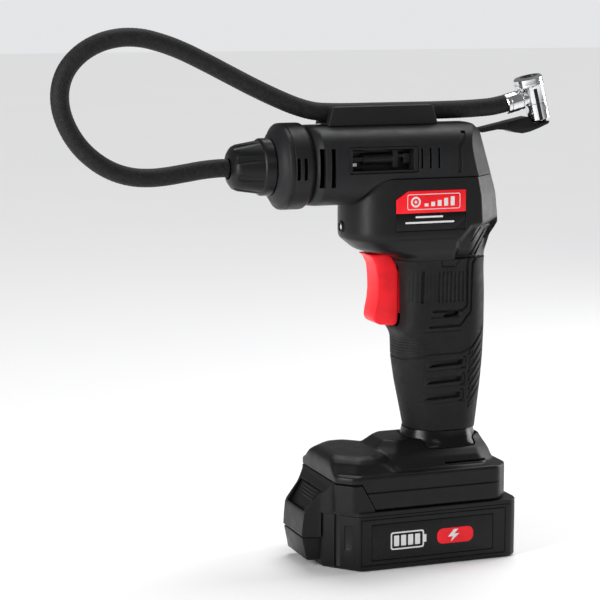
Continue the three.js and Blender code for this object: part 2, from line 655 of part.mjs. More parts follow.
// ---------------------------------------------------------------- battery
function caseRing(z, inward) {
  const side = CASE.halfWidth - inward;
  const x0 = CASE.front + inward;
  const x1 = CASE.rear - inward;
  const halfRing = [
    [x1, side - 7], [x1 - 1.6, side - 2.2], [x1 - 5, side], [x0 + 16 - inward * 0.4, side],
    [x0, side - 19 + inward * 0.4],
  ];
  const far = halfRing.map(([x, y]) => new THREE.Vector3(x, y, z));
  const near = halfRing.map(([x, y]) => new THREE.Vector3(x, -y, z));
  return [...far, ...near.reverse()];
}

function batteryLower() {
  const box = loft([caseRing(0, 1.2), caseRing(1.6, 0), caseRing(CASE.top, 0)]);
  const bulge = sidePlate([[-50, 3.5], [-65.5, 3.5], [-68.2, 16.8], [-50, 16.8]], -15, 15);
  const hollow = loft([caseRing(2.2, 1.6), caseRing(40, 1.6)]);
  const labelRecess = block(-35.3, 38.3, -40, -35.1, 5.7, 26.3);
  add("battery_case_lower", cut(join(box, bulge), hollow, labelRecess), "satinBlack");
  add("battery_label", block(-35, 38, -36, -35.4, 6, 26), "glossBlack");
  for (let i = 0; i < CELL.count; i++) {
    const cell = rodY(CELL.radius, -CELL.length / 2, CELL.length / 2, 0, 0, 20);
    const mesh = add(`cell_${i + 1}`, cell, "cellBlue");
    mesh.position.set(CELL.firstX + i * CELL.pitch, 0, CELL.z);
  }
  const board = block(-36, 44, -30, 30, 23, 24.6);
  const contacts = BLADE_YS.map((y) => block(24, 32, y - 2.6, y + 2.6, 24, 38));
  add("battery_board", join(board, ...contacts), "boardGreen");
}

// The release button's face leans back: in its own frame +X points into the battery and +Z runs up the face.
const RELEASE = { x: -59.6, z: 35.6, lean: 35.8 };
const releaseMatrix = new THREE.Matrix4()
  .makeRotationY(THREE.MathUtils.degToRad(RELEASE.lean))
  .setPosition(RELEASE.x, 0, RELEASE.z);

// A slab from x0 to x1 that widens from its lower edge to its upper one.
function wedgeSlab(x0, x1, grow) {
  const ring = (x) =>
    [[16.6, 7], [-16.6, 7], [-12.4, -7], [12.4, -7]].map(
      ([y, z]) => new THREE.Vector3(x, y + Math.sign(y) * grow, z + Math.sign(z) * grow),
    );
  return loft([ring(x0), ring(x1)]);
}

function batteryUpper() {
  const bottom = CASE.top + GAP;
  const plate = loft([caseRing(bottom, 0), caseRing(33.2, 0)]);
  const front = common(
    loft([footRing(33, 0), footRing(48.7, 0)]),
    sidePlate([[-90, 32], [-90, 48.7], [-40.8, 48.7], [-33.4, 35.2], [-32.4, 32]], -FAR, FAR),
  );
  const bulgeSide = [
    [-50, bottom], [CASE.front - GAP, bottom], [CASE.front - GAP, 17.1], [-68.4, 17.1], [-68, 24], [-67.2, 31],
    [-56.6, 43.5], [-53.3, 48.7], [-50, 48.7],
  ];
  const bulgePlan = (z) =>
    [[-50, 24], [-53.5, 23], [-59, 17.6], [-69, 15], [-69, -15], [-59, -17.6], [-53.5, -23], [-50, -24]].map(
      ([x, y]) => new THREE.Vector3(x, y, z),
    );
  const bulge = common(sidePlate(bulgeSide, -FAR, FAR), loft([bulgePlan(10), bulgePlan(60)]));
  const neck = block(-45, RAIL.rear, -RAIL.neck, RAIL.neck, 33, RAIL.neckTop + 0.2);
  const head = block(-45, RAIL.rear, -RAIL.head, RAIL.head, RAIL.neckTop, RAIL.top);
  const hollow = block(-30, 38, -19, 19, 30, 38.4);
  const slots = BLADE_YS.map((y) => block(20.5, 60, y - 1.2, y + 1.2, 40.2, 60));
  const pocket = moved(wedgeSlab(-12, 4.8, GAP), releaseMatrix);
  const shell = cut(join(plate, front, bulge, neck, head), hollow, ...slots, pocket);
  add("battery_case_upper", shell, "satinBlack");
}

function releaseButton() {
  const group = new THREE.Group();
  group.applyMatrix4(releaseMatrix);
  inflator.add(group);
  const ribs = [0.4, 2.6, 4.8].map((w) => block(-2, -1.3, -11, 11, w - 0.6, w + 0.6));
  add("release_button", join(wedgeSlab(-1.4, 1, 0), ...ribs), "satinBlack", group);
  add("release_spring", cut(rodX(2.2, 3, 4.5, 0, 0, 12), rodX(1.3, 2, 6, 0, 0, 12)), "steel", group);
}

// ---------------------------------------------------------------- hose
const HOSE_ROUTE = [
  [-105.7, 221.3], [-111, 221.3], [-120, 220.6], [-130, 219.2], [-140, 217.9], [-149, 217.4], [-158.5, 218.2],
  [-168, 221], [-177, 226], [-185.6, 233.6], [-192.2, 243.2], [-196.2, 254], [-196.6, 264.6], [-193.2, 274.4],
  [-186, 282.6], [-176, 288.4], [-164.5, 291.2], [-153, 291], [-141.5, 288.2], [-130, 283.9], [-117, 277.7],
  [-103.5, 270.8], [-90, 264], [-77, 258], [-66, 253.6], [-56, 250.9], [-46, 250.1], [-34, 249.9], [-18, 249.9],
  [-2, 249.9], [12, 249.9], [24, 250], [34, 250.2], [43, 250.6], [51, 251.2], [58.6, 252.6],
];

function hose() {
  const SIDES = 10;
  const STEPS = 36;
  const path = new THREE.CatmullRomCurve3(HOSE_ROUTE.map(([x, z]) => new THREE.Vector3(x, 0, z)));
  const section = new THREE.Shape([...Array(SIDES).keys()].map((i) => {
    const turn = (i / SIDES) * Math.PI * 2;
    return new THREE.Vector2(HOSE_RADIUS * Math.cos(turn), HOSE_RADIUS * Math.sin(turn));
  }));
  add("hose", solid(new THREE.ExtrudeGeometry(section, { steps: STEPS, extrudePath: path })), "braid");
}

// ---------------------------------------------------------------- lever chuck
// In the chuck's own frame the lever pin is the origin, u runs to the right and w towards the mouth.
function chuck() {
  const group = new THREE.Group();
  group.position.set(CHUCK.x, 0, CHUCK.z);
  group.rotation.y = THREE.MathUtils.degToRad(CHUCK.tilt);
  inflator.add(group);

  const AXIS = -2.4;
  const COLLAR = -4.2;
  const PORT_W = 7.3;
  const turned = (profile, u, segments) => {
    const points = profile.map(([radius, w]) => new THREE.Vector2(radius, w));
    return solid(new THREE.LatheGeometry(points, segments).rotateX(Math.PI / 2).translate(u, 0, 0));
  };
  const stem = turned([[0, -7], [5.1, -7], [6.3, -5.8], [6.3, 14], [0, 14]], AXIS, 24);
  const collar = turned([[0, 13.4], [7.7, 13.4], [8.2, 14], [8.2, 18.2], [7.4, 19], [0, 19]], COLLAR, 24);
  const port = rodX(4, -9, AXIS, 0, PORT_W, 16);
  const mouth = rodZ(5, 9, 21, COLLAR + 0.8, 0, 20);
  const tongueSlot = block(-4, 10, -2.1, 2.1, -9, 3.6);
  const grooves = [block(-4.9, -2.9, -9, -5.5, -9, 12), block(-4.9, -2.9, 5.5, 9, -9, 12)];
  const pinHole = rodY(1.6, -10, 10, 0, 0, 14);
  add("chuck_body", cut(join(stem, collar, port), mouth, tongueSlot, ...grooves, pinHole), "chrome", group);

  const seal = cut(rodZ(4.6, 14.4, 18.2, COLLAR + 0.8, 0, 20), rodZ(3.6, 13, 20, COLLAR + 0.8, 0, 20));
  add("chuck_seal", seal, "rubber", group);
  const ferrule = join(rodX(5.7, -21.5, -10.6, 0, PORT_W, 24), rodX(4.4, -10.8, -9.3, 0, PORT_W, 16));
  add("hose_ferrule", ferrule, "chrome", group);
  add("lever_pin", rodY(1.25, -5.4, 5.4, 0, 0, 14), "steel", group);

  const arc = [];
  for (let degrees = 193; degrees <= 223; degrees += 6) {
    const turn = THREE.MathUtils.degToRad(degrees);
    arc.push([10.8 * Math.cos(turn), 10.8 * Math.sin(turn)]);
  }
  const outline = [
    [-40.6, -1.2], ...arc, [-7.4, -7.8], [1.1, -7.8], [1.6, -8.6], [0.2, -9.5], [-6, -10.4], [-12, -10.9],
    [-16.5, -10.6], [-21, -8.8], [-25, -6.2], [-31, -4.4], [-40.6, -3.6],
  ];
  const arm = sidePlate(outline, -5.2, 5.2);
  const slimTip = [block(-60, -24, -20, -4.2, -20, 20), block(-60, -24, 4.2, 20, -20, 20)];
  const tongue = join(block(-2.2, 1, -1.7, 1.7, -8.4, 0), rodY(2.6, -1.7, 1.7, 0, 0, 16));
  add("chuck_lever", cut(join(cut(arm, ...slimTip), tongue), pinHole), "satinBlack", group);
}

// ---------------------------------------------------------------- the whole inflator
housing();
gripSleeve();
badge();
cover();
accessoryTray();
display();
buttons();
screws();
noseRing();
hoseNut();
hoseChannel();
lamp();
trigger();
motor();
gearTrain();
pump();
controlBoard();
foot();
batteryLower();
batteryUpper();
releaseButton();
hose();
chuck();

export default inflator;
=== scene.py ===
import json
import math

import bmesh
import bpy
import numpy as np
from mathutils import Matrix, Vector

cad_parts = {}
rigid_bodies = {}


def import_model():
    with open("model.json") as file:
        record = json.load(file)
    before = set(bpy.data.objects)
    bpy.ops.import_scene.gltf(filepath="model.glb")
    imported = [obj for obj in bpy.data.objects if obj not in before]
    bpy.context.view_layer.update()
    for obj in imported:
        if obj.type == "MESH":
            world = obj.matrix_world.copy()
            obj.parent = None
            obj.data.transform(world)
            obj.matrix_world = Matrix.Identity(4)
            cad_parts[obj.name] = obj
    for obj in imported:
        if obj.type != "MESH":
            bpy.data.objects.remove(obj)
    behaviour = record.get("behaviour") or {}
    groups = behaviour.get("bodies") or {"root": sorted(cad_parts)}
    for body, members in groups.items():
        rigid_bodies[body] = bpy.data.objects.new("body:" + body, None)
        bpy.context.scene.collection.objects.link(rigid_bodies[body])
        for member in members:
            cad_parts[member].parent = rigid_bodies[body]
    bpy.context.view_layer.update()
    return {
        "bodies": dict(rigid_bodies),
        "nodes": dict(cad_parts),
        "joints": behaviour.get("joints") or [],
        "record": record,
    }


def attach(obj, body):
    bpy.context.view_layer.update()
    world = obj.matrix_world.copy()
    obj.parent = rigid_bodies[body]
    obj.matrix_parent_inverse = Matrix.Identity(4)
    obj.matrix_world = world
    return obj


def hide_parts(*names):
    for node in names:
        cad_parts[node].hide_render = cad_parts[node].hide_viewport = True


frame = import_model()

NODES = frame["nodes"]

# Shapes are worked out in millimetres in the part's own frame, and MM turns them into metres.
MM = 0.001
FAR = 400
GAP = 0.3
TURN = 2 * math.pi


def new_object(name, data):
    thing = bpy.data.objects.new(name, data)
    bpy.context.scene.collection.objects.link(thing)
    return thing


# ---------------------------------------------------------------- camera
def camera():
    data = bpy.data.cameras.new("photo_camera")
    data.lens = 120
    data.sensor_width = 36
    data.clip_start = 0.05
    data.clip_end = 20
    eye = new_object("photo_camera", data)
    eye.location = (-0.4443, -1.0181, 0.3156)
    look = Vector((0.346, 0.926, -0.153))
    eye.rotation_mode = "QUATERNION"
    eye.rotation_quaternion = look.to_track_quat("-Z", "Y")
    bpy.context.scene.camera = eye


camera()


# ---------------------------------------------------------------- mesh kit
def mesh_object(name, points, faces):
    """A mesh object from points in millimetres."""
    mesh = bpy.data.meshes.new(name)
    mesh.from_pydata((np.asarray(points, float) * MM).tolist(), [], [list(map(int, f)) for f in faces])
    mesh.update()
    return new_object(name, mesh)


def signed_volume(points, faces):
    total = 0.0
    for face in faces:
        for i in range(1, len(face) - 1):
            a, b, c = points[face[0]], points[face[i]], points[face[i + 1]]
            total += np.dot(a, np.cross(b, c))
    return total


def closed_skin(name, rings):
    """A closed skin over rings with the same number of points each, capped at its two ends."""
    rings = np.asarray(rings, float)
    rows, columns, _ = rings.shape
    ids = np.arange(rows * columns).reshape(rows, columns)
    beside = np.roll(ids, -1, axis=1)
    quads = np.stack([ids[:-1], beside[:-1], beside[1:], ids[1:]], -1).reshape(-1, 4).tolist()
    points = rings.reshape(-1, 3)
    low, high = len(points), len(points) + 1
    points = np.vstack([points, rings[0].mean(0), rings[-1].mean(0)])
    caps = [[low, b, a] for a, b in zip(ids[0], beside[0])]
    caps += [[high, a, b] for a, b in zip(ids[-1], beside[-1])]
    faces = quads + caps
    if skin_volume(points, faces) < 0:
        faces = [face[::-1] for face in faces]
    return mesh_object(name, points, faces)


def skin_volume(points, faces):
    centre = points.mean(0)
    quads = np.array([f if len(f) == 4 else [*f, f[-1]] for f in faces])
    a, b, c, d = (points[quads[:, i]] - centre for i in range(4))
    return float((a * np.cross(b, c)).sum() + (a * np.cross(c, d)).sum())


def bake(thing):
    """Applies a piece's modifiers."""
    graph = bpy.context.evaluated_depsgraph_get()
    made = bpy.data.meshes.new_from_object(thing.evaluated_get(graph))
    thing.modifiers.clear()
    thing.data = made
    return thing


def boolean(target, tools, how):
    for tool in tools:
        step = target.modifiers.new(how, "BOOLEAN")
        step.operation = how
        step.solver = "MANIFOLD"
        step.object = tool
    bpy.context.view_layer.update()
    bake(target)
    for tool in tools:
        bpy.data.objects.remove(tool)
    return target


def carve(target, *tools):
    return boolean(target, tools, "DIFFERENCE")


def fuse(target, *tools):
    return boolean(target, tools, "UNION")


def overlap(target, *tools):
    return boolean(target, tools, "INTERSECT")


def twin(thing, name="twin"):
    return new_object(name, thing.data.copy())


def melt(thing, voxel, rounds):
    """Rounds every edge as a mould does: an even remesh, then a light smoothing."""
    remesh = thing.modifiers.new("remesh", "REMESH")
    remesh.mode = "VOXEL"
    remesh.voxel_size = voxel * MM
    smooth = thing.modifiers.new("smooth", "SMOOTH")
    smooth.factor = 0.5
    smooth.iterations = rounds
    bpy.context.view_layer.update()
    return bake(thing)


def shade(thing, degrees=32):
    thing.data.shade_smooth()
    thing.data.set_sharp_from_angle(angle=math.radians(degrees))
    return thing


def rounded(thing, radius, steps=3, degrees=30):
    """Rounds a piece's hard edges with a real bevel."""
    bevel = thing.modifiers.new("bevel", "BEVEL")
    bevel.width = radius * MM
    bevel.segments = steps
    bevel.limit_method = "ANGLE"
    bevel.angle_limit = math.radians(degrees)
    bevel.harden_normals = False
    bevel.use_clamp_overlap = True
    return thing


def placed(thing, radius, matrix):
    """Rounds a form's edges for good, then moves it into place."""
    if radius:
        rounded(thing, radius)
        bpy.context.view_layer.update()
        bake(thing)
    if matrix is not None:
        thing.data.transform(matrix)
    return thing


def block(x0, x1, y0, y1, z0, z1, radius=0.0, matrix=None):
    corners = [(x, y, z) for x in (x0, x1) for y in (y0, y1) for z in (z0, z1)]
    faces = [[0, 1, 3, 2], [4, 6, 7, 5], [0, 4, 5, 1], [2, 3, 7, 6], [0, 2, 6, 4], [1, 5, 7, 3]]
    return placed(mesh_object("block", corners, faces), radius, matrix)


def prism(outline, y0, y1, radius=0.0, matrix=None):
    """A plate with a side outline of (x, z) corners, from y0 to y1."""
    count = len(outline)
    points = [(x, y0, z) for x, z in outline] + [(x, y1, z) for x, z in outline]
    sides = [[i, (i + 1) % count, (i + 1) % count + count, i + count] for i in range(count)]
    faces = [list(range(count))[::-1], list(range(count, 2 * count)), *sides]
    if signed_volume(np.array(points, float), faces) < 0:
        faces = [face[::-1] for face in faces]
    return placed(mesh_object("prism", points, faces), radius, matrix)


def turned(profile, centre, axis="X", steps=96, name="turned"):
    """A solid of revolution round a line through centre, from a closed outline of (along, radius) corners."""
    angles = np.arange(steps) * TURN / steps
    along = np.array([p[0] for p in profile])
    radius = np.array([p[1] for p in profile])
    rings = []
    for angle in angles:
        a, b = radius * math.cos(angle), radius * math.sin(angle)
        columns = {"X": (along, a, b), "Y": (a, along, b), "Z": (a, b, along)}[axis]
        rings.append(np.stack(columns, -1) + np.array(centre, float))
    rings = np.array(rings)
    count = len(profile)
    faces = []
    for i in range(steps):
        for j in range(count):
            a, b = i * count + j, i * count + (j + 1) % count
            c, d = ((i + 1) % steps) * count + (j + 1) % count, ((i + 1) % steps) * count + j
            faces.append([a, b, c, d])
    points = rings.reshape(-1, 3)
    if signed_volume(points - points.mean(0), faces) < 0:
        faces = [face[::-1] for face in faces]
    thing = mesh_object(name, points, faces)
    clean = bmesh.new()
    clean.from_mesh(thing.data)
    bmesh.ops.remove_doubles(clean, verts=clean.verts, dist=1e-7)
    bmesh.ops.dissolve_degenerate(clean, edges=clean.edges, dist=1e-8)
    clean.to_mesh(thing.data)
    clean.free()
    return thing


def rod(radius, start, end, steps=32):
    """A plain cylinder between two points, for cutting and for shanks."""
    a, b = Vector(start), Vector(end)
    made = bmesh.new()
    length = (b - a).length
    bmesh.ops.create_cone(made, cap_ends=True, segments=steps, radius1=radius, radius2=radius, depth=length)
    turn = (b - a).to_track_quat("Z", "Y").to_matrix().to_4x4()
    place = Matrix.Scale(MM, 4) @ Matrix.Translation((a + b) / 2) @ turn
    bmesh.ops.transform(made, matrix=place, verts=made.verts)
    mesh = bpy.data.meshes.new("rod")
    made.to_mesh(mesh)
    made.free()
    return new_object("rod", mesh)


# ---------------------------------------------------------------- finishes
class Finish:
    """A procedural material. Its textures are placed by object coordinates, in metres."""

    def __init__(self, name, colour, roughness, metallic=0.0):
        self.material = bpy.data.materials.new(name)
        self.material.use_nodes = True
        self.tree = self.material.node_tree
        self.shader = self.tree.nodes["Principled BSDF"]
        self.shader.inputs["Base Color"].default_value = (*colour, 1)
        self.shader.inputs["Roughness"].default_value = roughness
        self.shader.inputs["Metallic"].default_value = metallic
        self.shader.inputs["Specular IOR Level"].default_value = 0.22 if metallic == 0 else 0.5
        self.colour = colour
        self.place = self.node("ShaderNodeTexCoord").outputs["Object"]
        self.normal = None

    def node(self, kind, **settings):
        made = self.tree.nodes.new(kind)
        for key, value in settings.items():
            setattr(made, key, value)
        return made

    def link(self, output, socket):
        self.tree.links.new(output, socket)

    def stretched(self, scale):
        mapping = self.node("ShaderNodeMapping")
        mapping.inputs["Scale"].default_value = scale
        self.link(self.place, mapping.inputs["Vector"])
        return mapping.outputs["Vector"]

    def noise(self, scale, detail=3.0, place=None):
        made = self.node("ShaderNodeTexNoise")
        made.inputs["Scale"].default_value = scale
        made.inputs["Detail"].default_value = detail
        self.link(place or self.place, made.inputs["Vector"])
        return made.outputs["Fac"]

    def spread(self, fac, low, high):
        made = self.node("ShaderNodeMapRange")
        made.inputs["From Min"].default_value = 0.3
        made.inputs["From Max"].default_value = 0.7
        made.inputs["To Min"].default_value = low
        made.inputs["To Max"].default_value = high
        self.link(fac, made.inputs["Value"])
        return made.outputs["Result"]

    def vary_roughness(self, scale, low, high):
        self.link(self.spread(self.noise(scale), low, high), self.shader.inputs["Roughness"])

    def vary_colour(self, scale, other, share=(0.0, 1.0), place=None):
        mixed = self.node("ShaderNodeMix", data_type="RGBA")
        self.link(self.spread(self.noise(scale, place=place), *share), mixed.inputs["Factor"])
        mixed.inputs["A"].default_value = (*self.colour, 1)
        mixed.inputs["B"].default_value = (*other, 1)
        self.paint = mixed.outputs["Result"]
        self.link(self.paint, self.shader.inputs["Base Color"])

    def round_edges(self, radius, edge_highlight):
        """Softens the normals near edges and paints a highlight there: the colour turns lighter along every
        edge.
        """
        bevel = self.node("ShaderNodeBevel", samples=6)
        bevel.inputs["Radius"].default_value = radius * MM
        self.normal = bevel.outputs["Normal"]
        self.link(self.normal, self.shader.inputs["Normal"])
        plain = self.node("ShaderNodeNewGeometry").outputs["Normal"]
        dot = self.node("ShaderNodeVectorMath", operation="DOT_PRODUCT")
        self.link(self.normal, dot.inputs[0])
        self.link(plain, dot.inputs[1])
        edge = self.node("ShaderNodeMapRange")
        edge.inputs["From Min"].default_value = 0.99
        edge.inputs["From Max"].default_value = 0.8
        self.link(dot.outputs["Value"], edge.inputs["Value"])
        # Painted highlight: near edges the colour is mixed towards a lighter one, as if light caught them.
        mixed = self.node("ShaderNodeMix", data_type="RGBA")
        self.link(edge.outputs["Result"], mixed.inputs["Factor"])
        if hasattr(self, "paint"):
            self.link(self.paint, mixed.inputs["A"])
        mixed.inputs["A"].default_value = (*self.colour, 1)
        mixed.inputs["B"].default_value = (*edge_highlight, 1)
        self.link(mixed.outputs["Result"], self.shader.inputs["Base Color"])

    def grain(self, height, distance, strength=1.0):
        bump = self.node("ShaderNodeBump")
        bump.inputs["Strength"].default_value = strength
        bump.inputs["Distance"].default_value = distance * MM
        self.link(height, bump.inputs["Height"])
        if self.normal:
            self.link(self.normal, bump.inputs["Normal"])
        self.normal = bump.outputs["Normal"]
        self.link(self.normal, self.shader.inputs["Normal"])


def moulded(name, colour, roughness, grain=0.03, edge_highlight=1.9, coarse=2600):
    finish = Finish(name, colour, roughness)
    finish.vary_colour(90, tuple(c * 1.25 for c in colour))
    finish.vary_roughness(140, roughness - 0.05, roughness + 0.06)
    # Painted edge highlight: the edges take the colour times the given factor.
    finish.round_edges(0.45, tuple(c * edge_highlight for c in colour))
    finish.grain(finish.noise(coarse, 2.0), grain)
    return finish.material


def metal(name, colour, roughness, streak=(1, 1, 1), scale=900):
    finish = Finish(name, colour, roughness, 1.0)
    place = finish.stretched(streak)
    finish.vary_colour(scale * 0.2, tuple(c * 0.82 for c in colour), place=place)
    spread = finish.spread(finish.noise(scale, place=place), roughness * 0.7, roughness * 1.4)
    finish.link(spread, finish.shader.inputs["Roughness"])
    # Painted edge highlight: the edges take a slightly lighter metal colour.
    finish.round_edges(0.2, tuple(min(1.0, c * 1.08) for c in colour))
    finish.grain(finish.noise(scale * 2, place=place), 0.006)
    return finish.material


def rubber(name, colour, roughness=0.72):
    finish = Finish(name, colour, roughness)
    finish.vary_colour(120, tuple(c * 1.35 for c in colour))
    finish.vary_roughness(220, roughness - 0.06, roughness + 0.08)
    # Painted edge highlight: the edges take a lighter rubber colour.
    finish.round_edges(0.35, tuple(c * 1.7 for c in colour))
    finish.grain(finish.noise(3800, 4.0), 0.05)
    finish.shader.inputs["Sheen Weight"].default_value = 0.03
    finish.shader.inputs["Sheen Roughness"].default_value = 0.5
    return finish.material


def woven(name, colour):
    finish = Finish(name, colour, 0.62)
    finish.vary_colour(500, tuple(c * 2.4 for c in colour))
    finish.grain(finish.noise(6500, 3.0), 0.06)
    finish.shader.inputs["Sheen Weight"].default_value = 0.06
    finish.shader.inputs["Sheen Roughness"].default_value = 0.4
    return finish.material


def polished(name):
    finish = Finish(name, (0.78, 0.79, 0.80), 0.14, 1.0)
    finish.vary_roughness(160, 0.11, 0.18)
    finish.vary_colour(300, (0.70, 0.71, 0.72))
    return finish.material


def circuit(name):
    finish = Finish(name, (0.012, 0.09, 0.035), 0.4)
    finish.vary_colour(1400, (0.03, 0.2, 0.08))
    finish.vary_roughness(400, 0.3, 0.5)
    finish.grain(finish.noise(900, 1.0), 0.05)
    return finish.material


def clear(name, colour, roughness):
    finish = Finish(name, colour, roughness)
    finish.vary_roughness(300, roughness * 0.8, roughness * 1.3)
    finish.shader.inputs["Coat Weight"].default_value = 0.6
    finish.shader.inputs["Coat Roughness"].default_value = 0.05
    finish.grain(finish.noise(500, 1.0), 0.003)
    return finish.material


# Every moulded finish below gets a painted edge highlight: its edges take its colour times 1.9, or times the
# factor set for the trigger, nylon and red print.
HOUSING = moulded("housing_black", (0.006, 0.0062, 0.0068), 0.34)
COVER = moulded("cover_black", (0.010, 0.0103, 0.0112), 0.46, grain=0.05)
CASE = moulded("battery_black", (0.0058, 0.006, 0.0065), 0.38, grain=0.04)
GLOSS = moulded("gloss_black", (0.005, 0.005, 0.0055), 0.2, grain=0.012)
RED = moulded("trigger_red", (0.86, 0.013, 0.022), 0.33, grain=0.012, edge_highlight=1.15)
GRIP = rubber("grip_rubber", (0.0062, 0.0064, 0.0068), 0.6)
BUTTON = rubber("button_rubber", (0.045, 0.046, 0.05))
SEAL = rubber("seal_rubber", (0.012, 0.012, 0.012), 0.6)
BRAID = woven("hose_braid", (0.006, 0.006, 0.0066))
CHROME = polished("chrome_plate")
STEEL = metal("plain_steel", (0.52, 0.53, 0.55), 0.3, (1, 1, 8))
SPRING = metal("spring_steel", (0.42, 0.43, 0.45), 0.22)
ALUMINIUM = metal("cast_aluminium", (0.60, 0.61, 0.63), 0.42, scale=1800)
BRASS = metal("turned_brass", (0.70, 0.48, 0.18), 0.25, (6, 1, 1))
COPPER = metal("copper_winding", (0.55, 0.22, 0.10), 0.3, (1, 9, 9))
NYLON = moulded("natural_nylon", (0.62, 0.59, 0.50), 0.5, edge_highlight=1.1)
BOARD = circuit("circuit_board")
CELL = clear("cell_wrap", (0.03, 0.11, 0.34), 0.3)
LENS = clear("lamp_lens", (0.85, 0.88, 0.90), 0.12)
WINDOW = clear("display_window", (0.008, 0.009, 0.010), 0.08)
PRINT_WHITE = clear("white_print", (0.80, 0.80, 0.80), 0.4)
PRINT_RED = moulded("red_print", (0.84, 0.013, 0.022), 0.35, grain=0.01, edge_highlight=1.1)
PRINT_DARK = moulded("dark_label", (0.004, 0.004, 0.0045), 0.28, grain=0.008)


def dress(thing, material):
    thing.data.materials.clear()
    thing.data.materials.append(material)
    return thing


def settle(thing, name, body, material, slot=None, *nodes, degrees=32):
    """Names a finished piece, shades it, and puts it on its body in place of its CAD nodes."""
    thing.name = name
    thing.data.name = name
    dress(shade(thing, degrees), material)
    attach(thing, body)
    if nodes:
        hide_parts(*nodes)
    return thing


# ---------------------------------------------------------------- hose
# The hose's own line, in metres, in the plane y = 0.
HOSE_ROUTE = [
    (-0.1057, 0.2213), (-0.111, 0.2213), (-0.120, 0.2206), (-0.130, 0.2192), (-0.140, 0.2179),
    (-0.149, 0.2174), (-0.1585, 0.2182), (-0.168, 0.221), (-0.177, 0.226), (-0.1856, 0.2336),
    (-0.1922, 0.2432), (-0.1962, 0.254), (-0.1966, 0.2646), (-0.1932, 0.2744), (-0.186, 0.2826),
    (-0.176, 0.2884), (-0.1645, 0.2912), (-0.153, 0.291), (-0.1415, 0.2882), (-0.130, 0.2839),
    (-0.117, 0.2777), (-0.1035, 0.2708), (-0.090, 0.264), (-0.077, 0.258), (-0.066, 0.2536),
    (-0.056, 0.2509), (-0.046, 0.2501), (-0.034, 0.2499), (-0.018, 0.2499), (-0.002, 0.2499),
    (0.012, 0.2499), (0.024, 0.25), (0.034, 0.2502), (0.043, 0.2506), (0.051, 0.2512), (0.0586, 0.2526),
]
HOSE_DIAMETER = 0.010


def smooth_line(points, per_span):
    """Catmull-Rom points through the given ones."""
    p = np.array(points, float)
    p = np.vstack([2 * p[0] - p[1], p, 2 * p[-1] - p[-2]])
    line = []
    for i in range(1, len(p) - 2):
        t = (np.arange(per_span) / per_span)[:, None]
        a, b, c, d = p[i - 1], p[i], p[i + 1], p[i + 2]
        curve = 2 * b + (c - a) * t + (2 * a - 5 * b + 4 * c - d) * t**2 + (3 * b - a - 3 * c + d) * t**3
        line.append(0.5 * curve)
    line.append(p[-2][None])
    return np.vstack(line)


def even_line(line, step):
    lengths = np.concatenate([[0], np.cumsum(np.linalg.norm(np.diff(line, axis=0), axis=1))])
    stops = np.linspace(0, lengths[-1], max(2, round(lengths[-1] / step)))
    return np.stack([np.interp(stops, lengths, line[:, i]) for i in range(line.shape[1])], -1), lengths[-1]


def hose():
    sample_step = 0.00036
    line, length = even_line(smooth_line(HOSE_ROUTE, 24), sample_step)
    tangent = np.gradient(line, axis=0)
    tangent /= np.linalg.norm(tangent, axis=1)[:, None]
    across = np.stack([-tangent[:, 1], tangent[:, 0]], -1)
    columns = 128
    strands = 16
    along = np.arange(len(line)) * length / (len(line) - 1)
    angle = np.arange(columns) * TURN / columns
    pitch = 0.0022
    u = strands * angle[None, :] / TURN + along[:, None] / pitch
    v = strands * angle[None, :] / TURN - along[:, None] / pitch
    crown_u = np.sqrt(np.clip(1 - (2 * (u % 1) - 1) ** 2, 0, 1)) * (0.4 + 0.6 * np.sin(math.pi * (v % 1)))
    crown_v = np.sqrt(np.clip(1 - (2 * (v % 1) - 1) ** 2, 0, 1)) * (0.4 + 0.6 * np.sin(math.pi * (u % 1)))
    height = np.where((np.floor(u) + np.floor(v)) % 2 == 0, crown_u, crown_v)
    depth = 0.00028
    radius = HOSE_DIAMETER / 2 - depth * (1 - height)
    rings = np.zeros((len(line), columns, 3))
    rings[:, :, 0] = line[:, None, 0] + across[:, None, 0] * radius * np.cos(angle)
    rings[:, :, 1] = radius * np.sin(angle)
    rings[:, :, 2] = line[:, None, 1] + across[:, None, 1] * radius * np.cos(angle)
    piece = closed_skin("air_hose", rings / MM)
    settle(piece, "air_hose", "housing", BRAID, "hose_braid", "hose", degrees=70)
    path = [(x, 0.0, z) for x, z in line[::8]] + [(line[-1, 0], 0.0, line[-1, 1])]
    return piece, length, path


air_hose, hose_length, hose_path = hose()


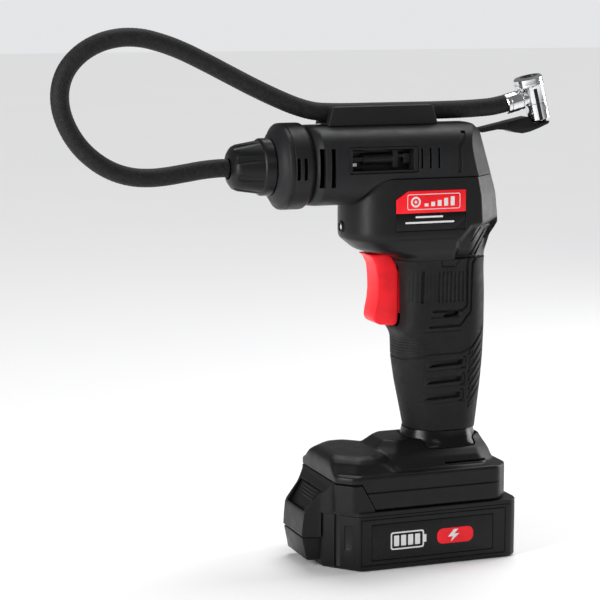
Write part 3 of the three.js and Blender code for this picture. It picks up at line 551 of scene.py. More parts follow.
# ---------------------------------------------------------------- plan-section forms
# Each row is height, front, rear, half width, nose depth, rear corner cut along X and Y, corner power and
# nose power.
BODY_ROWS = np.array([
    (50, 0.6, 38.4, 17.4, 16, 13, 13, 2, 2),
    (68, 0.2, 38.8, 17.5, 16, 13, 13, 2, 2),
    (81, -2.4, 40.6, 18, 16, 14, 14, 2, 2),
    (98, -6, 42.6, 18.6, 16.5, 14, 15, 2, 2),
    (112, -7.4, 43.6, 19, 17, 14, 15, 2, 2.4),
    (124, -6.9, 43.9, 19.3, 17, 14, 15, 2, 3),
    (127.5, -8.4, 44, 19.4, 17, 14, 15, 2, 3),
    (130.3, -12.6, 44, 19.5, 18, 14, 15, 2, 3),
    (131.2, -7.8, 44, 19.5, 17, 14, 15, 2, 3.5),
    (148, -8, 43.8, 20, 17, 14, 15, 2, 3.5),
    (163, -8.6, 43.4, 20.5, 17, 14, 15, 1.8, 3.5),
    (167, -10.6, 43.4, 20.8, 17, 14, 15, 1.8, 3.5),
    (171.4, -15.2, 43.5, 22, 19, 14, 14.5, 1.6, 3),
    (172.4, -26, 43.7, 22.6, 19, 14, 14.5, 1.5, 2),
    (174.5, -31.5, 44, 24, 22, 15, 14.5, 1.4, 2),
    (180.7, -39.2, 45.5, 26.2, 24, 16, 15, 1.2, 2),
    (184, -39.7, 48.4, 26.5, 24, 17, 15.5, 1, 2),
    (187.5, -39.7, 50.8, 26.5, 24, 17, 15.5, 1, 2),
    (204, -39.7, 48.8, 26.5, 24, 16, 15, 1, 2),
    (214.6, -39.7, 45.6, 26.5, 24, 15, 14.5, 1, 2),
    (226, -39.7, 42.1, 26.5, 24, 15, 14.5, 1, 2),
], float)
COVER_ROWS = np.array([
    (190, -130, 50.4, 26.5, 24, 16, 15, 1, 2),
    (214.6, -130, 45.6, 26.5, 24, 15, 14.5, 1, 2),
    (239, -130, 38.3, 26.5, 24, 14, 14.5, 1, 2),
    (243.6, -130, 33, 26.5, 24, 13, 14.5, 1, 2),
    (250, -130, 30, 26.5, 24, 13, 14.5, 1, 2),
], float)


def inset_rows(rows, thickness):
    made = rows.copy()
    made[:, 1] += thickness
    made[:, 2] -= thickness
    made[:, 3] -= thickness
    made[:, 4] -= thickness
    return made


def plan_outline(row, columns):
    """One closed plan outline at even steps, from the middle of the rear round the +Y side."""
    _, front, rear, half, nose, cut_x, cut_y, corner, blunt = row
    reach = min(cut_y, half - 0.5)
    turn = np.linspace(0, math.pi / 2, 40)
    corner_x = rear - cut_x + cut_x * np.cos(turn) ** (2 / corner)
    corner_y = half - reach + reach * np.sin(turn) ** (2 / corner)
    turn = np.linspace(0, math.pi / 2, 160)
    nose_x = front + nose - nose * np.sin(turn) ** (2 / blunt)
    nose_y = half * np.clip(np.cos(turn), 0, 1) ** (2 / blunt)
    x = np.concatenate([[rear], corner_x, nose_x])
    y = np.concatenate([[0], corner_y, nose_y])
    x = np.concatenate([x, x[-2::-1]])
    y = np.concatenate([y, -y[-2::-1]])
    length = np.concatenate([[0], np.cumsum(np.hypot(np.diff(x), np.diff(y)))])
    stops = np.linspace(0, length[-1], columns, endpoint=False)
    return np.interp(stops, length, x), np.interp(stops, length, y)


def soften(values, sigma, wrap):
    """A short Gaussian blur along the first axis."""
    reach = max(1, int(3 * sigma))
    kernel = np.exp(-0.5 * (np.arange(-reach, reach + 1) / sigma) ** 2)
    kernel /= kernel.sum()
    padded = np.pad(values, [(reach, reach)] + [(0, 0)] * (values.ndim - 1), mode="wrap" if wrap else "edge")
    return sum(k * padded[i : i + len(values)] for i, k in enumerate(kernel))


def plan_skin(name, rows, low, high, step, columns, relief=None, crease=1.2):
    """A fine closed skin through plan outlines between two heights, with relief cut into its sides."""
    heights = np.linspace(low, high, max(2, round((high - low) / step)))
    dense = np.arange(low - 8, high + 8, step)
    table = np.stack([np.interp(dense, rows[:, 0], rows[:, i]) for i in range(9)], -1)
    table[:, 0] = dense
    table = soften(table, crease / step, wrap=False)
    rings = []
    for height in heights:
        row = [np.interp(height, dense, table[:, i]) for i in range(9)]
        x, y = plan_outline(row, columns)
        perimeter = np.hypot(np.diff(x), np.diff(y)).sum()
        edge = 0.9 / (perimeter / columns)
        ring = soften(np.stack([x, y], -1), edge, wrap=True)
        rings.append(np.column_stack([ring, np.full(columns, height)]))
    rings = np.array(rings)
    if relief:
        ahead = np.roll(rings, -1, axis=1) - np.roll(rings, 1, axis=1)
        normal = np.stack([-ahead[..., 1], ahead[..., 0]], -1)
        normal /= np.linalg.norm(normal, axis=2)[..., None]
        centre = rings[..., :2].mean(1)[:, None]
        outward = np.sign(((rings[..., :2] - centre) * normal).sum(-1).mean())
        normal *= outward
        depth = relief(rings[..., 0], rings[..., 2], np.abs(normal[..., 1]))
        rings[..., :2] -= normal * depth[..., None]
    return closed_skin(name, rings)


# ---------------------------------------------------------------- relief on the sides, in (x, z)
def step_up(value, low, high):
    t = np.clip((value - low) / (high - low), 0, 1)
    return t * t * (3 - 2 * t)


def line_distance(x, z, points):
    nearest = np.full(x.shape, 1e9)
    for (ax, az), (bx, bz) in zip(points, points[1:]):
        length2 = (bx - ax) ** 2 + (bz - az) ** 2
        t = np.clip(((x - ax) * (bx - ax) + (z - az) * (bz - az)) / length2, 0, 1)
        nearest = np.minimum(nearest, np.hypot(x - ax - t * (bx - ax), z - az - t * (bz - az)))
    return nearest


def groove(x, z, points, width, depth):
    return depth * (1 - step_up(line_distance(x, z, points), width * 0.25, width * 0.75))


def box_distance(x, z, x0, x1, z0, z1):
    return np.maximum(np.maximum(x0 - x, x - x1), np.maximum(z0 - z, z - z1))


def pit(distance, depth, soft):
    return depth * (1 - step_up(distance, -soft, soft))


# Bottom, left end and right end of the three long slots on each side of the handle.
GRIP_SLOTS = [(108.1, 5.5, 26.6), (98.6, 5.0, 26.0), (89.4, 4.6, 25.4)]
SLEEVE_LINE = [(29.5, 178.8), (38, 186.4), (52, 187)]
GRIP_TOP = 168.5


def body_relief(x, z, side):
    facet = [(18.1, 160), (18.1, 179.2), (26.7, 189.0), (60, 192.5)]
    edge = line_distance(x, z, facet)
    line_z = np.interp(x, [18.1, 26.7, 60], [179.2, 189.0, 192.5])
    below = (x > 18.1) & (z < line_z)
    depth = np.where(below, 2.6 * step_up(edge, 0.2, 4.2), 0) * step_up(side, 0.25, 0.6)
    depth += groove(x, z, SLEEVE_LINE, 0.9, 0.6) * step_up(side, 0.2, 0.5)
    depth += groove(x, z, [(27.8, 167.7), (36.2, 178.2), (42, 183.6)], 1.3, 1.2) * (z > GRIP_TOP)
    depth += groove(x, z, [(30.9, 166.5), (38.5, 175.6), (44, 180)], 1.3, 1.2) * (z > GRIP_TOP)
    front_fade = step_up(x, -30, -20) * step_up(side, 0.5, 0.9)
    depth += groove(x, z, [(-30, 181.8), (17.5, 181.8)], 1.4, 0.12) * front_fade
    return depth


def grip_relief(x, z, side):
    on_side = step_up(side, 0.25, 0.6)
    depth = groove(x, z, [(11.6, 172), (12.4, 165.1), (20.5, 164.7), (24.6, 171.3)], 0.8, 0.6) * on_side
    for middle in np.arange(-5.9, 26, 2.42):
        wide, deep = (1.2, 0.75) if middle > 11 else (0.8, 0.24)
        if abs(middle - 1.4) < 1.2:
            wide, deep = 1.7, 1.4
        depth += groove(x, z, [(middle, 145.6), (middle, 161.6)], wide, deep) * on_side
    outer = [(38.5, 175.6), (30.9, 166.5), (30.7, 138.9), (24.6, 131.3), (6, 131.0)]
    inner = [(36.2, 178.2), (27.8, 167.7), (28.2, 142.4), (25.8, 139.9), (8, 139.8)]
    depth += groove(x, z, outer, 1.3, 1.3)
    depth += groove(x, z, inner, 1.3, 1.3)
    tilt = (x - 18) * 0.03
    short = np.maximum(box_distance(x, z - tilt, 12.6, 23.8, 136.2, 139.0), 14.6 - x - (z - 136.2) * -0.7)
    depth += pit(short, 1.7, 0.35) * on_side
    depth += groove(x, z, [(6.5, 136.4), (13, 136.4)], 0.7, 0.5) * on_side
    depth += groove(x, z, [(-8, 130.6), (-3, 128.9), (24, 128.9)], 1.6, 0.28) * on_side
    lower = [
        (-11.3, 111.8), (-2.3, 112.9), (2.5, 114.3), (6.8, 115.7),
        (25.2, 115.7), (31.3, 118.1), (37.4, 125.2), (41, 132),
    ]
    depth += groove(x, z, lower, 0.9, 0.55)
    waves = 0.5 - 0.5 * np.cos(TURN * (z + 0.45 * np.sin(x * 1.35)) / 1.55)
    patch = step_up(x, -9.5, -6) * step_up(-x, -7.5, -3.5)
    patch = patch * step_up(z, 112.5, 116) * step_up(-z, -127.5, -124.5)
    depth += 0.3 * waves * patch
    for bottom, left, right in GRIP_SLOTS:
        rise = (x - left) * 0.035
        rim = np.abs(box_distance(x, z - rise, left - 1.4, right + 0.6, bottom - 1.7, bottom + 3.6))
        depth += 0.22 * (1 - step_up(rim, 0.25, 0.75)) * on_side
        top, foot_line, edge = bottom + 5.3, bottom - 0.9, right + 1.9
        hook = [(right + 0.2, top), (edge, top), (edge, foot_line), (right - 0.6, foot_line)]
        depth += groove(x, z, hook, 0.85, 0.7) * on_side
    for start in np.arange(84.5, 116, 5.0):
        depth += groove(x, z, [(30.2, start), (30.6, start + 2.5), (41.5, start + 14.5)], 0.9, 0.6)
        depth += groove(x, z, [(30.2, start), (38, start + 5.2)], 0.6, 0.25)
    return depth * step_up(z, 72, 74)


# ---------------------------------------------------------------- housing, grip sleeve and cover
WALL = 2.4
SLEEVE = 1.9
SEAM = [(-41, 200.2), (-38, 203), (-32, 209.3), (-27, 212.7), (-21, 214.6)]
POCKET = (-50, 6.5, -8.3, 8.3, 130.6, 171.9)
BADGE = {"x0": -18, "x1": 23.4, "z0": 195.8, "z1": 208, "cut": 7}
BUTTONS = [(-5.6, 207, 47.9), (5.6, 207, 47.9), (-5.6, 197, 49.6), (5.6, 197, 49.6)]
SCREWS = [(-24, 183), (33, 196)]


def smooth_seam(lift):
    curve = smooth_line(SEAM, 8)
    return [(-FAR, 196 + lift), (-41, 196 + lift), *[(x, z + lift) for x, z in curve], (FAR, 214.6 + lift)]


def above_seam(lift):
    return prism([*smooth_seam(lift), (FAR, FAR), (-FAR, FAR)], -FAR, FAR)


def side_block(side):
    edges = (-FAR, -GAP / 2) if side < 0 else (GAP / 2, FAR)
    return block(-FAR, FAR, *edges, -FAR, FAR)


def plan_solid(rows, low, high, columns=180, step=1.0):
    return plan_skin("plan_solid", rows, low, high, step, columns)


def slot_cutters():
    """Deep tapered slots low on both sides of the handle, and the short one above them."""
    tools = []
    for side in (-1, 1):
        near, far = sorted((side * 15.4, side * 40))
        for bottom, left, right in GRIP_SLOTS:
            low, high = bottom + 0.1, bottom + 0.8
            slot = [
                (left, low - 0.3), (right - 1, low + 0.4), (right, high + 0.3),
                (right, high + 3.0), (left + 9, low + 2.9), (left + 2, low + 1.5),
            ]
            tools.append(prism(slot, near, far))
        short = [(13.0, 136.3), (22.6, 136.7), (24.0, 138.0), (24.0, 139.3), (15.4, 139.0)]
        tools.append(prism(short, near, far))
    return tools


def housing():
    upper = plan_skin("upper", BODY_ROWS, GRIP_TOP + 0.05, 220, 0.36, 660, body_relief, crease=0.7)
    core = plan_solid(inset_rows(BODY_ROWS, SLEEVE + GAP), 58, GRIP_TOP + 2)
    hollow = plan_solid(inset_rows(BODY_ROWS, SLEEVE + GAP + 2.2), 50, 230)
    whole = fuse(upper, core)
    badge_pocket = prism(badge_outline(GAP, 185.9), -40, -25.75)
    led_dish = rod(3.4, (-60, 0, 187), (-39.2, 0, 187))
    tools = [
        hollow, above_seam(-GAP / 2), block(*POCKET), badge_pocket, led_dish,
        rod(2.8, (-60, 0, 187), (-30, 0, 187)),
        *[rod(3.3, (44.5, y, z), (60, y, z)) for y, z, _ in BUTTONS],
        *[rod(3.25, (x, 17.2, z), (x, 40, z)) for x, z in SCREWS],
        *slot_cutters(),
    ]
    carve(whole, *tools)
    right = twin(whole)
    carve(whole, side_block(1))
    carve(right, side_block(-1))
    settle(whole, "housing_shell_left", "housing", HOUSING, "housing_plastic", "housing_left")
    settle(right, "housing_shell_right", "housing", HOUSING, "housing_plastic", "housing_right")


def badge_outline(grow, bottom):
    x0, x1, z1, cut = BADGE["x0"] - grow, BADGE["x1"] + grow, BADGE["z1"] + grow, BADGE["cut"]
    return [(x0, bottom), (x1, bottom), (x1, z1), (x0 + cut, z1), (x0, z1 - cut * 0.65)]


def grip():
    sleeve = plan_skin("sleeve", BODY_ROWS, 71.6, GRIP_TOP, 0.33, 520, grip_relief, crease=2.0)
    core = plan_solid(inset_rows(BODY_ROWS, SLEEVE), 60, 180)
    carve(sleeve, core, block(*POCKET, radius=0.8), *slot_cutters())
    settle(sleeve, "grip_cover", "housing", GRIP, "grip_rubber", "grip_sleeve")


housing()
grip()


# ---------------------------------------------------------------- forms from closed outlines
def smooth_outline(half_points, columns=200, blur=1.6):
    """A closed plan outline, mirrored over y = 0 from its +Y half, with its corners softened over blur mm."""
    points = np.array([*half_points, *[(x, -y) for x, y in half_points[::-1]]], float)
    points = np.vstack([points, points[:1]])
    length = np.concatenate([[0], np.cumsum(np.hypot(*np.diff(points, axis=0).T))])
    stops = np.linspace(0, length[-1], columns, endpoint=False)
    ring = np.stack([np.interp(stops, length, points[:, i]) for i in range(2)], -1)
    return soften(ring, blur / (length[-1] / columns), wrap=True) if blur else ring


def stacked(name, rows, columns=200, blur=1.6):
    """A closed skin over (height, half outline) rows, every outline with the same corners."""
    rings = []
    for height, half_points in rows:
        ring = smooth_outline(half_points, columns, blur)
        rings.append(np.column_stack([ring, np.full(columns, height)]))
    return closed_skin(name, np.array(rings))


def eased_ends(low, high, radius, steps=4):
    """Heights and insets that round the bottom and top edges of a stacked form."""
    turn = np.linspace(0, math.pi / 2, steps + 1)
    start = [(low + radius * (1 - math.cos(t)), radius * (1 - math.sin(t))) for t in turn]
    end = [(high - radius * (1 - math.cos(t)), radius * (1 - math.sin(t))) for t in turn[::-1]]
    return [*start, *end]


def ring_box(front, rear, half, corner_x, corner_y):
    """The +Y half of a box outline with its corners cut off."""
    side = half - corner_y
    return [(rear, side), (rear - corner_x, half), (front + corner_x, half), (front, side)]


# ---------------------------------------------------------------- compressor cover
BARREL = {
    "z": 221.5, "half_width": 25.8, "front_half_width": 22.6, "half_height": 21.8, "front": -62.7, "power": 3,
}
NOSE_Z = 221.3
BAY = {"x0": -45.5, "x1": -4.3, "z0": 218, "z1": 232.5}
TALL_VENTS = [(-61.1, -58.3), (-55.2, -52.5)]
SMALL_VENTS = [(-3.2, -1.9), (1.8, 3.1), (6.9, 8.2)]
DISPLAY = Matrix.Translation(Vector((41.9, 0, 226.7)) * MM) @ Matrix.Rotation(math.radians(-16.6), 4, "Y")


def barrel(shrink, columns=360):
    """The cover's long rounded-box form, with an eased front edge."""
    offsets = np.array([0, 0.15, 0.5, 1.1, 2.0, 3.5, 5.5, 40, 132.7])
    inset = np.array([1.6, 0.95, 0.4, 0.12, 0, 0, 0, 0, 0])
    blend = step_up(offsets, -1.5, 4.5)
    angle = np.arange(columns) * TURN / columns
    rings = []
    for offset, ease, share in zip(offsets, inset, blend):
        power = 2 + (BARREL["power"] - 2) * share
        front_width = BARREL["front_half_width"]
        width = front_width + (BARREL["half_width"] - front_width) * share - ease - shrink
        height = BARREL["half_height"] - ease - shrink
        y = width * np.sign(np.cos(angle)) * np.abs(np.cos(angle)) ** (2 / power)
        z = height * np.sign(np.sin(angle)) * np.abs(np.sin(angle)) ** (2 / power)
        x = BARREL["front"] + max(shrink, 0) + offset
        rings.append(np.column_stack([np.full(columns, x), y, BARREL["z"] + z]))
    return closed_skin("barrel", np.array(rings))


def skin_strip(tool, depth):
    """The part of a cutting tool that lies outside the barrel sunk by depth."""
    return carve(tool, barrel(depth))


def cover():
    outer = overlap(barrel(0), plan_skin("cover_plan", COVER_ROWS, 185, 250, 0.8, 420, crease=0.8))
    frame_ring = carve(
        prism([(-48.6, 216), (-48.6, 234.2), (-1.5, 234.2), (-0.5, 231), (-0.5, 219), (-2.5, 216)], -24, 24),
        prism([(-45, 217), (-45, 233), (-4, 233), (-4, 217)], -40, 40),
    )
    outer = fuse(outer, overlap(frame_ring, barrel(-0.35)))
    hollow = overlap(barrel(WALL), plan_skin("cover_inner", inset_rows(COVER_ROWS, WALL), 180, 260, 1.0, 300))
    band = [
        (18.6, 217.2), (18.6, 231.2), (21.6, 234.8), (22.8, 239.5),
        (25.4, 239.5), (24.2, 234), (21.1, 230.2), (21.1, 217.2),
    ]
    carve(outer, hollow)
    tools = [
        prism([*smooth_seam(GAP / 2)[::-1], (-FAR, -FAR), (FAR, -FAR)], -FAR, FAR),
        rod(14, (-80, 0, NOSE_Z), (-50, 0, NOSE_Z), 96),
        block(-7, 7, -9.3, 9.3, -9.3, 9.3, matrix=DISPLAY),
        block(BAY["x0"], BAY["x1"], -40, -20, BAY["z0"], BAY["z1"], radius=1.2),
        skin_strip(prism(band, -40, 40), 0.8),
    ]
    for side in (-1, 1):
        near, far = sorted((side * 17, side * 40))
        tools += [block(x0, x1, near, far, 211, 232, radius=0.5) for x0, x1 in TALL_VENTS]
        tools += [block(x0, x1, near, far, 220, 231, radius=0.4) for x0, x1 in SMALL_VENTS]
    carve(outer, *tools)
    right = twin(outer)
    carve(outer, side_block(1))
    carve(right, side_block(-1))
    settle(outer, "cover_shell_left", "housing", COVER, "cover_plastic", "compressor_cover_left", degrees=28)
    settle(
        right, "cover_shell_right", "housing", COVER, "cover_plastic", "compressor_cover_right", degrees=28,
    )


def nose_ring():
    profile = [
        (-81.8, 7.5), (-81.8, 15.9), (-81.2, 16.9), (-79.9, 19.5), (-79.2, 20.1), (-77.6, 22.9),
        (-76.9, 23.4), (-75.4, 23.6), (-75.2, 23.2), (-74.6, 23.2), (-74.4, 23.6), (-66.4, 23.6),
        (-65.2, 23.45), (-64.2, 22.8), (-63, 22), (-63, 19.6), (-78.5, 19.6), (-78.5, 7.5),
    ]
    ring = turned(profile, (0, 0, NOSE_Z), steps=144, name="nose_ring_piece")
    tools = []
    for x0, x1 in [(-73.9, -71.9), (-69.9, -67.9)]:
        tools += [block(x0, x1, y0, y0 + 12, 215.4, 227.2, radius=0.6) for y0 in (-30, 18)]
    carve(ring, *tools)
    settle(ring, "nose_ring_piece", "housing", COVER, "cover_plastic", "nose_ring", degrees=24)


def hose_nut():
    profile = [
        (-82.1, 7.2), (-82.1, 15.2), (-82.6, 15.6), (-87.4, 15.6), (-88.1, 15.2), (-88.6, 14.5),
        (-100.6, 12.6), (-102.8, 11.6), (-104.4, 9.4), (-105.1, 7.4), (-105.4, 6.2), (-104.2, 5.4),
        (-96, 5.4), (-92, 7.2),
    ]
    nut = turned(profile, (0, 0, NOSE_Z), steps=144, name="hose_nut_piece")
    flutes = []
    for i in range(8):
        angle = (i + 0.5) * TURN / 8
        y, z = math.cos(angle), math.sin(angle)
        start = (-89.4, 17.6 * y, NOSE_Z + 17.6 * z)
        end = (-108, 13.6 * y, NOSE_Z + 13.6 * z)
        flutes.append(rod(3.6, start, end, 40))
    carve(nut, *flutes)
    settle(nut, "hose_nut_piece", "hose_nut", HOUSING, "cover_plastic", "hose_nut", degrees=30)


def hose_channel():
    outline = [(-52.6, 238), (-48.9, 252.4), (-47.6, 253.4), (9.4, 253.7), (10.6, 252.8), (15.2, 238)]
    form = prism(outline, -10.4, 10.4, 1.0)
    carve(form, block(-70, 30, -5.6, 5.6, 244.5, 270), barrel(-GAP))
    rounded(form, 0.35, 2)
    settle(form, "hose_channel_piece", "housing", COVER, "cover_plastic", "hose_channel")


# ---------------------------------------------------------------- trigger, lamp, badge
def trigger():
    outline = [
        (-26.6, 171.6), (-24, 169.4), (-22, 165.5), (-21.2, 159), (-21, 152), (-21.5, 146), (-22.8, 139.5),
        (-23.2, 136), (-22.2, 133.6), (-19.4, 132.1), (-11, 131.2), (-9.3, 132.2), (-8.6, 134), (-8.6, 161),
        (-9.9, 166), (-12.6, 170), (-15.4, 171.6),
    ]
    pull = prism(outline, -8, 8)
    rounded(pull, 2.2, 5, 25)
    bpy.context.view_layer.update()
    bake(pull)
    pull = fuse(pull, block(-10, -1, -7, 7, 138, 162, radius=0.5))
    carve(pull, rod(4.2, (-7, 0, 152), (0, 0, 152), 48))
    settle(pull, "trigger_piece", "trigger", RED, "red_plastic", "trigger", degrees=40)


def ring_outline(x, z, radius, steps=48):
    turns = [i * TURN / steps for i in range(steps)]
    return [(x + radius * math.cos(turn), z + radius * math.sin(turn)) for turn in turns]


def rounded_outline(x0, x1, z0, z1, radius, steps=6):
    left, right, low, high = x0 + radius, x1 - radius, z0 + radius, z1 - radius
    points = []
    for quarter, (x, z) in enumerate([(right, high), (left, high), (left, low), (right, low)]):
        for i in range(steps + 1):
            turn = (quarter + i / steps) * math.pi / 2
            points.append((x + radius * math.cos(turn), z + radius * math.sin(turn)))
    return points


def print_depth(face):
    """The near and far side of a printed mark on a face that looks towards -Y."""
    return face - 0.07, face + 0.05


def badge():
    face, back = -26.6, -25.9
    plate = prism(badge_outline(0, BADGE["z0"]), face, back, 0.25)
    settle(plate, "badge_red_plate", "housing", RED, "red_plastic", "badge_plate")
    outline = [(-18, 186.2), (15.6, 186.2), (23.4, 191.6), (23.4, 195.6), (-18, 195.6)]
    lower = prism(outline, -26.32, back, 0.1)
    settle(lower, "badge_dark_panel", "housing", PRINT_DARK, "gloss_plastic")
    frame = carve(
        prism(rounded_outline(-11.6, 19.9, 197.7, 206.2, 1.2), *print_depth(face)),
        prism(rounded_outline(-11.25, 19.55, 198.05, 205.85, 0.95), -30, -20),
    )
    settle(frame, "badge_frame_line", "housing", PRINT_WHITE)
    tyre_centre = (-6.6, 201.95)
    tyre = carve(
        prism(ring_outline(*tyre_centre, 2.9), *print_depth(face)),
        prism(ring_outline(*tyre_centre, 1.9), -30, -20),
    )
    marks = [tyre, prism(ring_outline(*tyre_centre, 0.8, 24), *print_depth(face))]
    for i, tall in enumerate((1.6, 2.4, 3.2, 4.2, 5.0)):
        x = -1.4 + i * 3.9
        low, high = 199.4, 199.4 + tall
        marks.append(prism([(x, low), (x + 2.3, low), (x + 2.3, high), (x, high)], *print_depth(face)))
    for i, mark in enumerate(marks):
        settle(mark, f"badge_mark_{i + 1}", "housing", PRINT_WHITE)
    for i, (x0, x1, z) in enumerate([(-6.6, 9.8, 193.1), (-12.6, 16.6, 190.1)]):
        line = prism(rounded_outline(x0, x1, z, z + 1.0, 0.45), -26.39, -26.25)
        settle(line, f"panel_line_{i + 1}", "housing", PRINT_WHITE)


def lamp():
    centre = (0, 0, 187)
    lens_profile = [
        (-40.1, 0.0), (-40.0, 1.0), (-39.6, 1.7), (-39.2, 1.95), (-36.9, 1.95), (-36.9, 3.2),
        (-36, 3.2), (-36, 0.0),
    ]
    bezel_profile = [(-40.0, 2.05), (-40.4, 2.3), (-40.4, 3.0), (-39.9, 3.3), (-38.6, 3.3), (-38.6, 2.05)]
    lens = turned(lens_profile, centre, steps=48)
    settle(lens, "lamp_lens_piece", "housing", LENS, "lamp_glass", "lamp_lens", degrees=50)
    bezel = turned(bezel_profile, centre, steps=48)
    settle(bezel, "lamp_bezel", "housing", GLOSS, "gloss_plastic")


# ---------------------------------------------------------------- foot and collar
COLLAR_ROWS = [
    (62.3, ring_box(-4.6, 43.2, 20.4, 11, 11)), (63.0, ring_box(-4.5, 43.1, 20.3, 11, 11)),
    (64.2, ring_box(-3.5, 42.1, 19.7, 11, 11)), (65.5, ring_box(-2.4, 41, 19, 11, 11)),
    (68.4, ring_box(-1.5, 40.3, 18.45, 11, 11)), (71.3, ring_box(-1, 40, 18.2, 11, 11)),
]


def grown(rows, amount):
    low, high = rows[0][0], rows[-1][0]
    made = []
    for height, ring in rows:
        x = [point[0] for point in ring]
        middle = (max(x) + min(x)) / 2
        ends = {low: -amount, high: amount}.get(height, 0)
        made.append((height + ends, [(px + amount * np.sign(px - middle), py + amount) for px, py in ring]))
    return made


def foot_half(inset):
    return ring_box(-53 + inset, 50 - inset, 34.8 - inset, 8, 8.5)


def foot():
    slab = stacked("slab", [(height, foot_half(inset)) for height, inset in eased_ends(33.5, 53.2, 1.2)])
    hood = stacked("hood", [
        (49, ring_box(-53, -6, 34.4, 12, 9)), (53, ring_box(-53, -8, 33.4, 12, 9.5)),
        (56, ring_box(-52.8, -11, 31, 12, 10.5)),
        (58.6, ring_box(-52.2, -14, 29, 12, 11)), (60.4, ring_box(-51.2, -16, 26, 12, 11)),
        (61.7, ring_box(-49.4, -19, 22.4, 11, 10)), (62.3, ring_box(-47, -22, 18, 9, 8)),
    ], blur=1.5)
    pedestal = stacked("pedestal", [
        (49, ring_box(-32, 47.6, 29.9, 11, 10)), (54, ring_box(-29.5, 46.6, 28, 11, 10)),
        (58.5, ring_box(-27, 45.6, 24.6, 11, 10)), (61, ring_box(-25, 44.6, 21.6, 10, 9)),
        (63.6, ring_box(-22, 43.4, 18, 9, 8)), (67, ring_box(-18, 42, 13.6, 7, 6)),
    ], blur=1.5)
    body = fuse(slab, hood, pedestal)
    melt(body, 0.7, 3)
    ledge = [(-90, 20), (-90, 49.2), (-40.4, 49.2), (-33, 35.6), (-31.8, 33), (-31.8, 20)]
    tools = [
        prism(ledge, -FAR, FAR), block(-90, 46, -21.8, 21.8, 20, 40), block(-90, 46, -27.6, 27.6, 38.6, 48.8),
        block(10, 28, -9, 9, 45, 70), plan_solid(inset_rows(BODY_ROWS, SLEEVE), 57.7, 80),
        stacked("collar_seat", grown(COLLAR_ROWS, GAP)),
    ]
    for side in (-1, 1):
        out = sorted((side * 33.9, side * 40))
        tools.append(block(-60, 60, *out, 43.4, 44.4, radius=0.2))
        notch = sorted((side * 24.5, side * 40))
        tools.append(block(38.6, 43.2, *notch, 53.2, 58.6, radius=0.5))
        tools.append(block(12, 38.6, *notch, 54.6, 55.8, radius=0.3))
    carve(body, *tools)
    settle(body, "foot_piece", "housing", CASE, "housing_plastic", "foot", degrees=40)
    collar = stacked("collar", COLLAR_ROWS, blur=4.2)
    carve(collar, plan_solid(inset_rows(BODY_ROWS, SLEEVE), 50, 80, 300))
    settle(collar, "handle_collar_piece", "housing", GLOSS, "gloss_plastic", "handle_collar", degrees=40)


# ---------------------------------------------------------------- battery
CASE_TOP = 30.7


def case_half(inset):
    side = 36 - inset
    x0, x1 = -58 + inset, 54.3 - inset
    slant = inset * 0.4
    return [
        (x1, side - 7), (x1 - 1.6, side - 2.2), (x1 - 5, side), (x0 + 16 - slant, side),
        (x0, side - 19 + slant),
    ]


def chamfer_block(middle, half_width, depth, z0, z1, side):
    """An upright cutter set square on the case's slanting front corner, middle along the slant in 0 to 1."""
    angle = math.atan2(19, 16) * side
    place = Vector((-58 + 16 * middle, -side * (17 + 19 * middle), 0)) * MM
    turn = Matrix.Translation(place) @ Matrix.Rotation(-angle, 4, "Z")
    return block(-half_width, half_width, -depth, depth, z0, z1, radius=0.4, matrix=turn)


def battery_lower():
    bottom_edge = [(0, 1.6), (0.3, 0.9), (0.9, 0.3), (1.8, 0), (CASE_TOP, 0)]
    box = stacked("box", [(height, case_half(inset)) for height, inset in bottom_edge], columns=420, blur=1.0)
    nose = prism([(-50, 3.5), (-64.6, 3.5), (-65.7, 4.2), (-68.2, 16.8), (-50, 16.8)], -15, 15, 0.8)
    fuse(box, nose)
    carve(box, stacked("inside", [(2.2, case_half(1.6)), (40, case_half(1.6))], blur=0.8))
    tools = [block(-35.3, 38.3, -40, -35.1, 5.7, 26.3, radius=0.4)]
    for side in (-1, 1):
        tools.append(chamfer_block(0.42, 1.9, 1.4, 1.5, 40, side))
        tools.append(chamfer_block(0.70, 2.6, 0.5, 11.5, 25.5, side))
        out = sorted((side * 35.4, side * 40))
        for x0, x1 in [(-41.6, -40.8), (45.2, 46.0)]:
            tools.append(block(x0, x1, *out, 3.4, 29.4, radius=0.15))
        tools.append(block(-41.6, 46, *out, 3.0, 3.8, radius=0.15))
        tools.append(block(-41.6, 46, *out, 28.8, 29.6, radius=0.15))
    carve(box, *tools)
    rounded(box, 0.3, 2, 50)
    settle(
        box, "battery_case_lower_piece", "battery", CASE, "housing_plastic", "battery_case_lower", degrees=36,
    )


